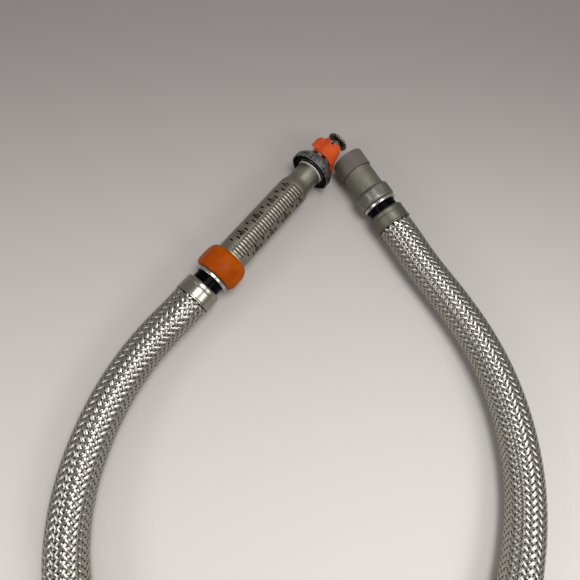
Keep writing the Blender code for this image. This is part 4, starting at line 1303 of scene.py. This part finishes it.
def add_sprinkler(end):
    """The sprinkler: threaded body with flange, boss and arms, and the parts between them."""
    thread = OUTLET_RADIUS - GAP
    body = [
        (SPRINKLER_THREAD_START, WATERWAY_RADIUS),
        (SPRINKLER_THREAD_START, thread),
        (FLANGE_START, thread),
        (FLANGE_START, WRENCH_FLANGE_RADIUS),
        (BOSS_START, WRENCH_FLANGE_RADIUS),
        (BOSS_START, BOSS_RADIUS),
        (BOSS_END, BOSS_RADIUS),
        (BOSS_END, WATERWAY_RADIUS),
    ]
    end_boss = plain_ring(
        END_BOSS_START, END_BOSS_END, SCREW_RADIUS + GAP, END_BOSS_RADIUS, END_BOSS_EASING, end,
        SMALL_COLUMNS,
    )
    frame_patches = [
        revolved(outline(body, BODY_EASING), end), end_boss, arm_patch(1, end), arm_patch(-1, end),
    ]
    add_piece(
        "sprinkler_body_and_arms", frame_patches, FINISHES["chrome"], "hose_set",
        ["sprinkler_frame"], sharp=45.0,
    )
    spring = ring_corners(BOSS_END + GAP, SPRING_END, WATERWAY_RADIUS, SPRING_RADIUS)
    stem = WATERWAY_RADIUS - GAP
    seal = [
        (SEAL_STEM_START, AXIS_RADIUS),
        (SEAL_STEM_START, stem),
        (SPRING_END + GAP, stem),
        (SPRING_END + GAP, SEAL_RADIUS),
        (SEAL_END, SEAL_RADIUS - SEAL_CONE),
        (SEAL_END, AXIS_RADIUS),
    ]
    lower, upper = BULB_NECK_SHARES
    bulb = [
        (BULB_START, AXIS_RADIUS),
        (BULB_START, BULB_TIP_RADIUS),
        (BULB_START + BULB_NECK_LENGTH, BULB_RADIUS * lower),
        (BULB_START + BULB_SHOULDER_LENGTH, BULB_RADIUS),
        (BULB_END - BULB_SHOULDER_LENGTH, BULB_RADIUS),
        (BULB_END - BULB_NECK_LENGTH, BULB_RADIUS * upper),
        (BULB_END, BULB_TIP_RADIUS),
        (BULB_END, AXIS_RADIUS),
    ]
    screw = [
        (SCREW_START, AXIS_RADIUS),
        (SCREW_START, SCREW_RADIUS),
        (SCREW_END - SCREW_RADIUS / 2, SCREW_RADIUS),
        (SCREW_END, SCREW_RADIUS / 2),
        (SCREW_END, AXIS_RADIUS),
    ]
    for name, corners, easing, columns, finish, node in (
        ("disc_spring", spring, 0.0002, SMALL_COLUMNS, "steel", "spring_washer"),
        ("water_seal", seal, 0.0003, SMALL_COLUMNS, "brass", "orifice_seal"),
        ("bulb_of_red_glass", bulb, 0.0012, SMALLEST_COLUMNS, "glass", "glass_bulb"),
        ("bulb_screw", screw, 0.0004, SMALLEST_COLUMNS, "chrome", "compression_screw"),
    ):
        surface = revolved(outline(corners, easing), end, columns)
        add_piece(name, [surface], FINISHES[finish], "hose_set", [node])


def add_deflector(end):
    """The deflector: a thin plate whose rim falls back to the root circle between its tines.

    Past the root circle the radius is drawn in by ((TINE_SHARE - f) / (TINE_SHARE -
    TINE_TIP_SHARE)) kept to 0..1, where f is twice the angle from the tine's middle over the
    pitch.
    """
    front = DEFLECTOR_START + DEFLECTOR_THICKNESS
    hole = SCREW_RADIUS + GAP
    corners = [
        (DEFLECTOR_START, hole),
        (DEFLECTOR_START, DEFLECTOR_ROOT_RADIUS),
        (DEFLECTOR_START, DEFLECTOR_RADIUS),
        (front, DEFLECTOR_RADIUS),
        (front, DEFLECTOR_ROOT_RADIUS),
        (front, hole),
    ]
    pitch = 2 * pi / DEFLECTOR_TINES

    def radius(x, r, a):
        from_middle = 2 * np.abs((a + pitch / 2) % pitch - pitch / 2) / pitch
        share = np.clip((TINE_SHARE - from_middle) / (TINE_SHARE - TINE_TIP_SHARE), 0.0, 1.0)
        past = np.maximum(0.0, r - DEFLECTOR_ROOT_RADIUS)
        return np.minimum(r, DEFLECTOR_ROOT_RADIUS) + past * share

    section = outline(corners, DEFLECTOR_EASING, steps=2)
    plate = revolved(section, end, DEFLECTOR_TINES * TINE_COLUMNS, radius)
    add_piece(
        "tined_deflector", [plate], FINISHES["deflector"], "hose_set", ["deflector"],
        sharp=30.0,
    )


def cap_section(rear, front):
    """The cap's wall between two places along its end: (x, distance out from the inside)."""
    return outline([(rear, 0.0), (rear, CAP_WALL), (front, CAP_WALL), (front, 0.0)], CAP_EASING)


def cap_shell(end):
    """The cap: a rounded wall carried up one leg, over the arch and down the other leg.

    The arch's front edge falls back by CAP_SIDE_TAPER times the power CAP_TAPER_POWER of the
    cosine of its angle, and by a bell-shaped notch over the top. A leg narrows evenly, and by
    sqrt(1 - t²) within its rounded tip, where t is the share of the tip's length.
    """
    root_width = CAP_LENGTH - CAP_SIDE_TAPER
    middle = CAP_REAR + root_width / 2
    shares = np.concatenate((
        1.0 - CAP_LEG_TIP_SHARE * np.linspace(0.0, 1.0, CAP_LEG_TIP_ROWS) ** 2,
        np.linspace(*CAP_LEG_SHARES, CAP_LEG_ROWS),
    ))
    right = []
    for share in shares:
        from_tip = max(0.0, share - 1.0 + CAP_LEG_TIP_SHARE)
        t = from_tip / (CAP_LEG_TIP_SHARE + CAP_LEG_TIP_BLUNTNESS)
        width = root_width + (CAP_LEG_TIP_WIDTH - root_width) * share
        half = width * np.sqrt(1.0 - t ** 2) / 2
        section = cap_section(middle - half, middle + half)
        y = CAP_INSIDE + CAP_LEG_SPLAY * share + section[:, 1]
        z = np.full(len(section), -CAP_LEG_DROP * share)
        right.append(np.stack([section[:, 0], -y, z], axis=1))
    left = [loop * np.array((1.0, -1.0, 1.0)) for loop in right[::-1]]
    arch = []
    for angle in np.linspace(0.0, pi, CAP_ARCH_ROWS):
        notch = CAP_NOTCH_DEPTH * np.exp(-((angle - pi / 2) / CAP_NOTCH_SPREAD) ** 2)
        front = CAP_REAR + CAP_LENGTH - CAP_SIDE_TAPER * cos(angle) ** CAP_TAPER_POWER - notch
        section = cap_section(CAP_REAR, front)
        r = CAP_INSIDE + section[:, 1]
        arch.append(np.stack([section[:, 0], -r * cos(angle), r * sin(angle)], axis=1))
    return patch(placed(np.stack(right + arch + left), end), wrap_rows=False)


def cap_tab(end):
    """The pull tab: a flat plate over the arch's left shoulder, bent down a little at its tip.

    With t the share of the tip's length, the plate sinks by CAP_TAB_DROP t². Its front, its
    rear and its two faces come in by their insets times 1 - sqrt(1 - t²).
    """
    outer = CAP_INSIDE + CAP_WALL
    top = outer - CAP_TAB_DEPTH
    tip = outer + CAP_TAB_REACH
    y = tip - np.concatenate((
        np.linspace(tip - outer / 2, CAP_TAB_TIP_LENGTH, CAP_TAB_ROWS)[:-1],
        CAP_TAB_TIP_LENGTH * (1.0 - np.sin(np.linspace(0.0, pi / 2, CAP_TAB_TIP_ROWS))),
    ))
    loops = []
    for place in y:
        t = min(1.0, max(0.0, 1.0 - (tip - place) / CAP_TAB_TIP_LENGTH))
        curl = 1.0 - np.sqrt(max(0.0, 1.0 - t ** 2))
        rear = CAP_TAB_START + CAP_TAB_REAR_INSET * curl
        front = CAP_TAB_START + CAP_TAB_LENGTH - CAP_TAB_TIP_INSET * curl
        sunk = top - CAP_TAB_DROP * t ** 2
        high = sunk - CAP_TAB_TIP_THINNING * curl
        low = sunk - CAP_TAB_THICKNESS + CAP_TAB_TIP_THINNING * curl
        corners = [(rear, low), (rear, high), (front, high), (front, low)]
        section = outline(corners, CAP_TAB_EASING)
        across = np.full(len(section), place)
        loops.append(np.stack([section[:, 0], across, section[:, 1]], axis=1))
    return patch(placed(np.stack(loops), end), wrap_rows=False)


def add_cap(end):
    """The red protective cap, which lifts off by itself."""
    add_piece(
        "saddle_cap", [cap_shell(end), cap_tab(end)], FINISHES["red"], "protective_cap",
        ["protective_cap"], sharp=50.0,
    )


def finger_patch(number, end):
    """One finger of the escutcheon ring, stepped out a little from its neighbours."""
    pitch = 2 * pi / ESCUTCHEON_FINGERS
    gap = ESCUTCHEON_SLIT_WIDTH / 2 / ESCUTCHEON_RADIUS
    first = ESCUTCHEON_SLIT_TURN + number * pitch + gap
    a = np.linspace(first, first + pitch - 2 * gap, FINGER_COLUMNS)
    inside = ESCUTCHEON_RADIUS - ESCUTCHEON_WALL
    tip = ESCUTCHEON_REAR + ESCUTCHEON_SLIT_DEPTH + FINGER_OVERLAP
    corners = ring_corners(ESCUTCHEON_REAR, tip, inside, ESCUTCHEON_RADIUS)
    section = outline(corners, FINGER_EASING)
    lifted = ESCUTCHEON_STEP * (number * 3 % 4 - 1) / 2
    r = section[:, 1] + lifted * (tip - section[:, 0]) / ESCUTCHEON_SLIT_DEPTH
    return patch(placed(round_line(section[:, 0], r, a[:, None]), end), wrap_rows=False)


def slit_shade_patch(number, end):
    """Painted shade: a dark slab that fills one slit of the escutcheon ring."""
    a = ESCUTCHEON_SLIT_TURN + number * 2 * pi / ESCUTCHEON_FINGERS
    side = ESCUTCHEON_SLIT_WIDTH / 2
    corners = np.array(ring_corners(
        ESCUTCHEON_REAR + FINGER_OVERLAP, ESCUTCHEON_REAR + ESCUTCHEON_SLIT_DEPTH,
        ESCUTCHEON_RADIUS - ESCUTCHEON_WALL, ESCUTCHEON_RADIUS - SLIT_SHADE_DEPTH,
    ))
    local = np.stack([
        np.stack([
            corners[:, 0],
            corners[:, 1] * sin(a) + offset * cos(a),
            corners[:, 1] * cos(a) - offset * sin(a),
        ], axis=1)
        for offset in (-side, side)
    ])
    return patch(placed(local, end), wrap_rows=False)


def add_escutcheon(end):
    """The slit escutcheon ring: a domed hub, eight fingers, painted shade in its slits and a dark
    scaly inside.
    """
    inside = ESCUTCHEON_RADIUS - ESCUTCHEON_WALL
    hub_start = ESCUTCHEON_REAR + ESCUTCHEON_SLIT_DEPTH
    lip = ESCUTCHEON_FRONT - ESCUTCHEON_WALL
    middle = (ESCUTCHEON_SHOULDER + ESCUTCHEON_FRONT) / 2
    fall = ESCUTCHEON_RADIUS - ESCUTCHEON_FRONT_RADIUS
    middle_radius = ESCUTCHEON_RADIUS - ESCUTCHEON_BULGE * fall
    under = [
        (lip, ESCUTCHEON_FRONT_RADIUS - ESCUTCHEON_WALL / 2),
        (middle - ESCUTCHEON_WALL / 2, middle_radius - ESCUTCHEON_WALL),
        (hub_start, inside),
    ]
    hub = [
        (hub_start, ESCUTCHEON_RADIUS),
        (middle, middle_radius),
        (ESCUTCHEON_FRONT, ESCUTCHEON_FRONT_RADIUS),
        (ESCUTCHEON_FRONT, ESCUTCHEON_HOLE_RADIUS),
        (lip, ESCUTCHEON_HOLE_RADIUS),
        *under,
    ]
    fingers = [finger_patch(number, end) for number in range(ESCUTCHEON_FINGERS)]
    add_piece(
        "slit_escutcheon", [revolved(outline(hub, ESCUTCHEON_EASING), end), *fingers],
        FINISHES["blotched"], "hose_set", ["escutcheon_ring"], sharp=45.0,
    )
    # Painted shade: dark slabs in the slits, in the black rubber finish, stand for the shadow in
    # them
    slit_shades = [slit_shade_patch(number, end) for number in range(ESCUTCHEON_FINGERS)]
    add_piece("slit_painted_shade", slit_shades, FINISHES["rubber"], "hose_set")
    path = np.array(under)
    lining = np.concatenate((path + (0.0, LINING), path[::-1] - (0.0, LINING)))
    add_piece(
        "escutcheon_lining", [revolved(lining, end)], FINISHES["scaled"], "hose_set",
    )


bpy.context.scene.view_settings.view_transform = "Standard"
add_camera()
sprinkler_line = end_frame("reducer_nut_turn")
branch_line = end_frame("nipple_nut_turn")
add_hose(sprinkler_line, branch_line)
add_floor()
add_light()
add_joint(
    "sprinkler", SPRINKLER_JOINT, sprinkler_line, "reducer_thrust_ring", "reducer_nut",
    FINISHES["orange"], FINISHES["ferrule"],
)
# The branch ferrule gets the darker copy of the pressed steel, as painted shade
add_joint(
    "branch", BRANCH_JOINT, branch_line, "nipple_thrust_ring", "nipple_nut",
    FINISHES["zinc"], FINISHES["dull_shaded_steel"],
)
add_reducer(sprinkler_line)
add_scale(sprinkler_line)
add_sprinkler(sprinkler_line)
add_deflector(sprinkler_line)
add_cap(sprinkler_line)
add_escutcheon(sprinkler_line)
add_nipple(branch_line)
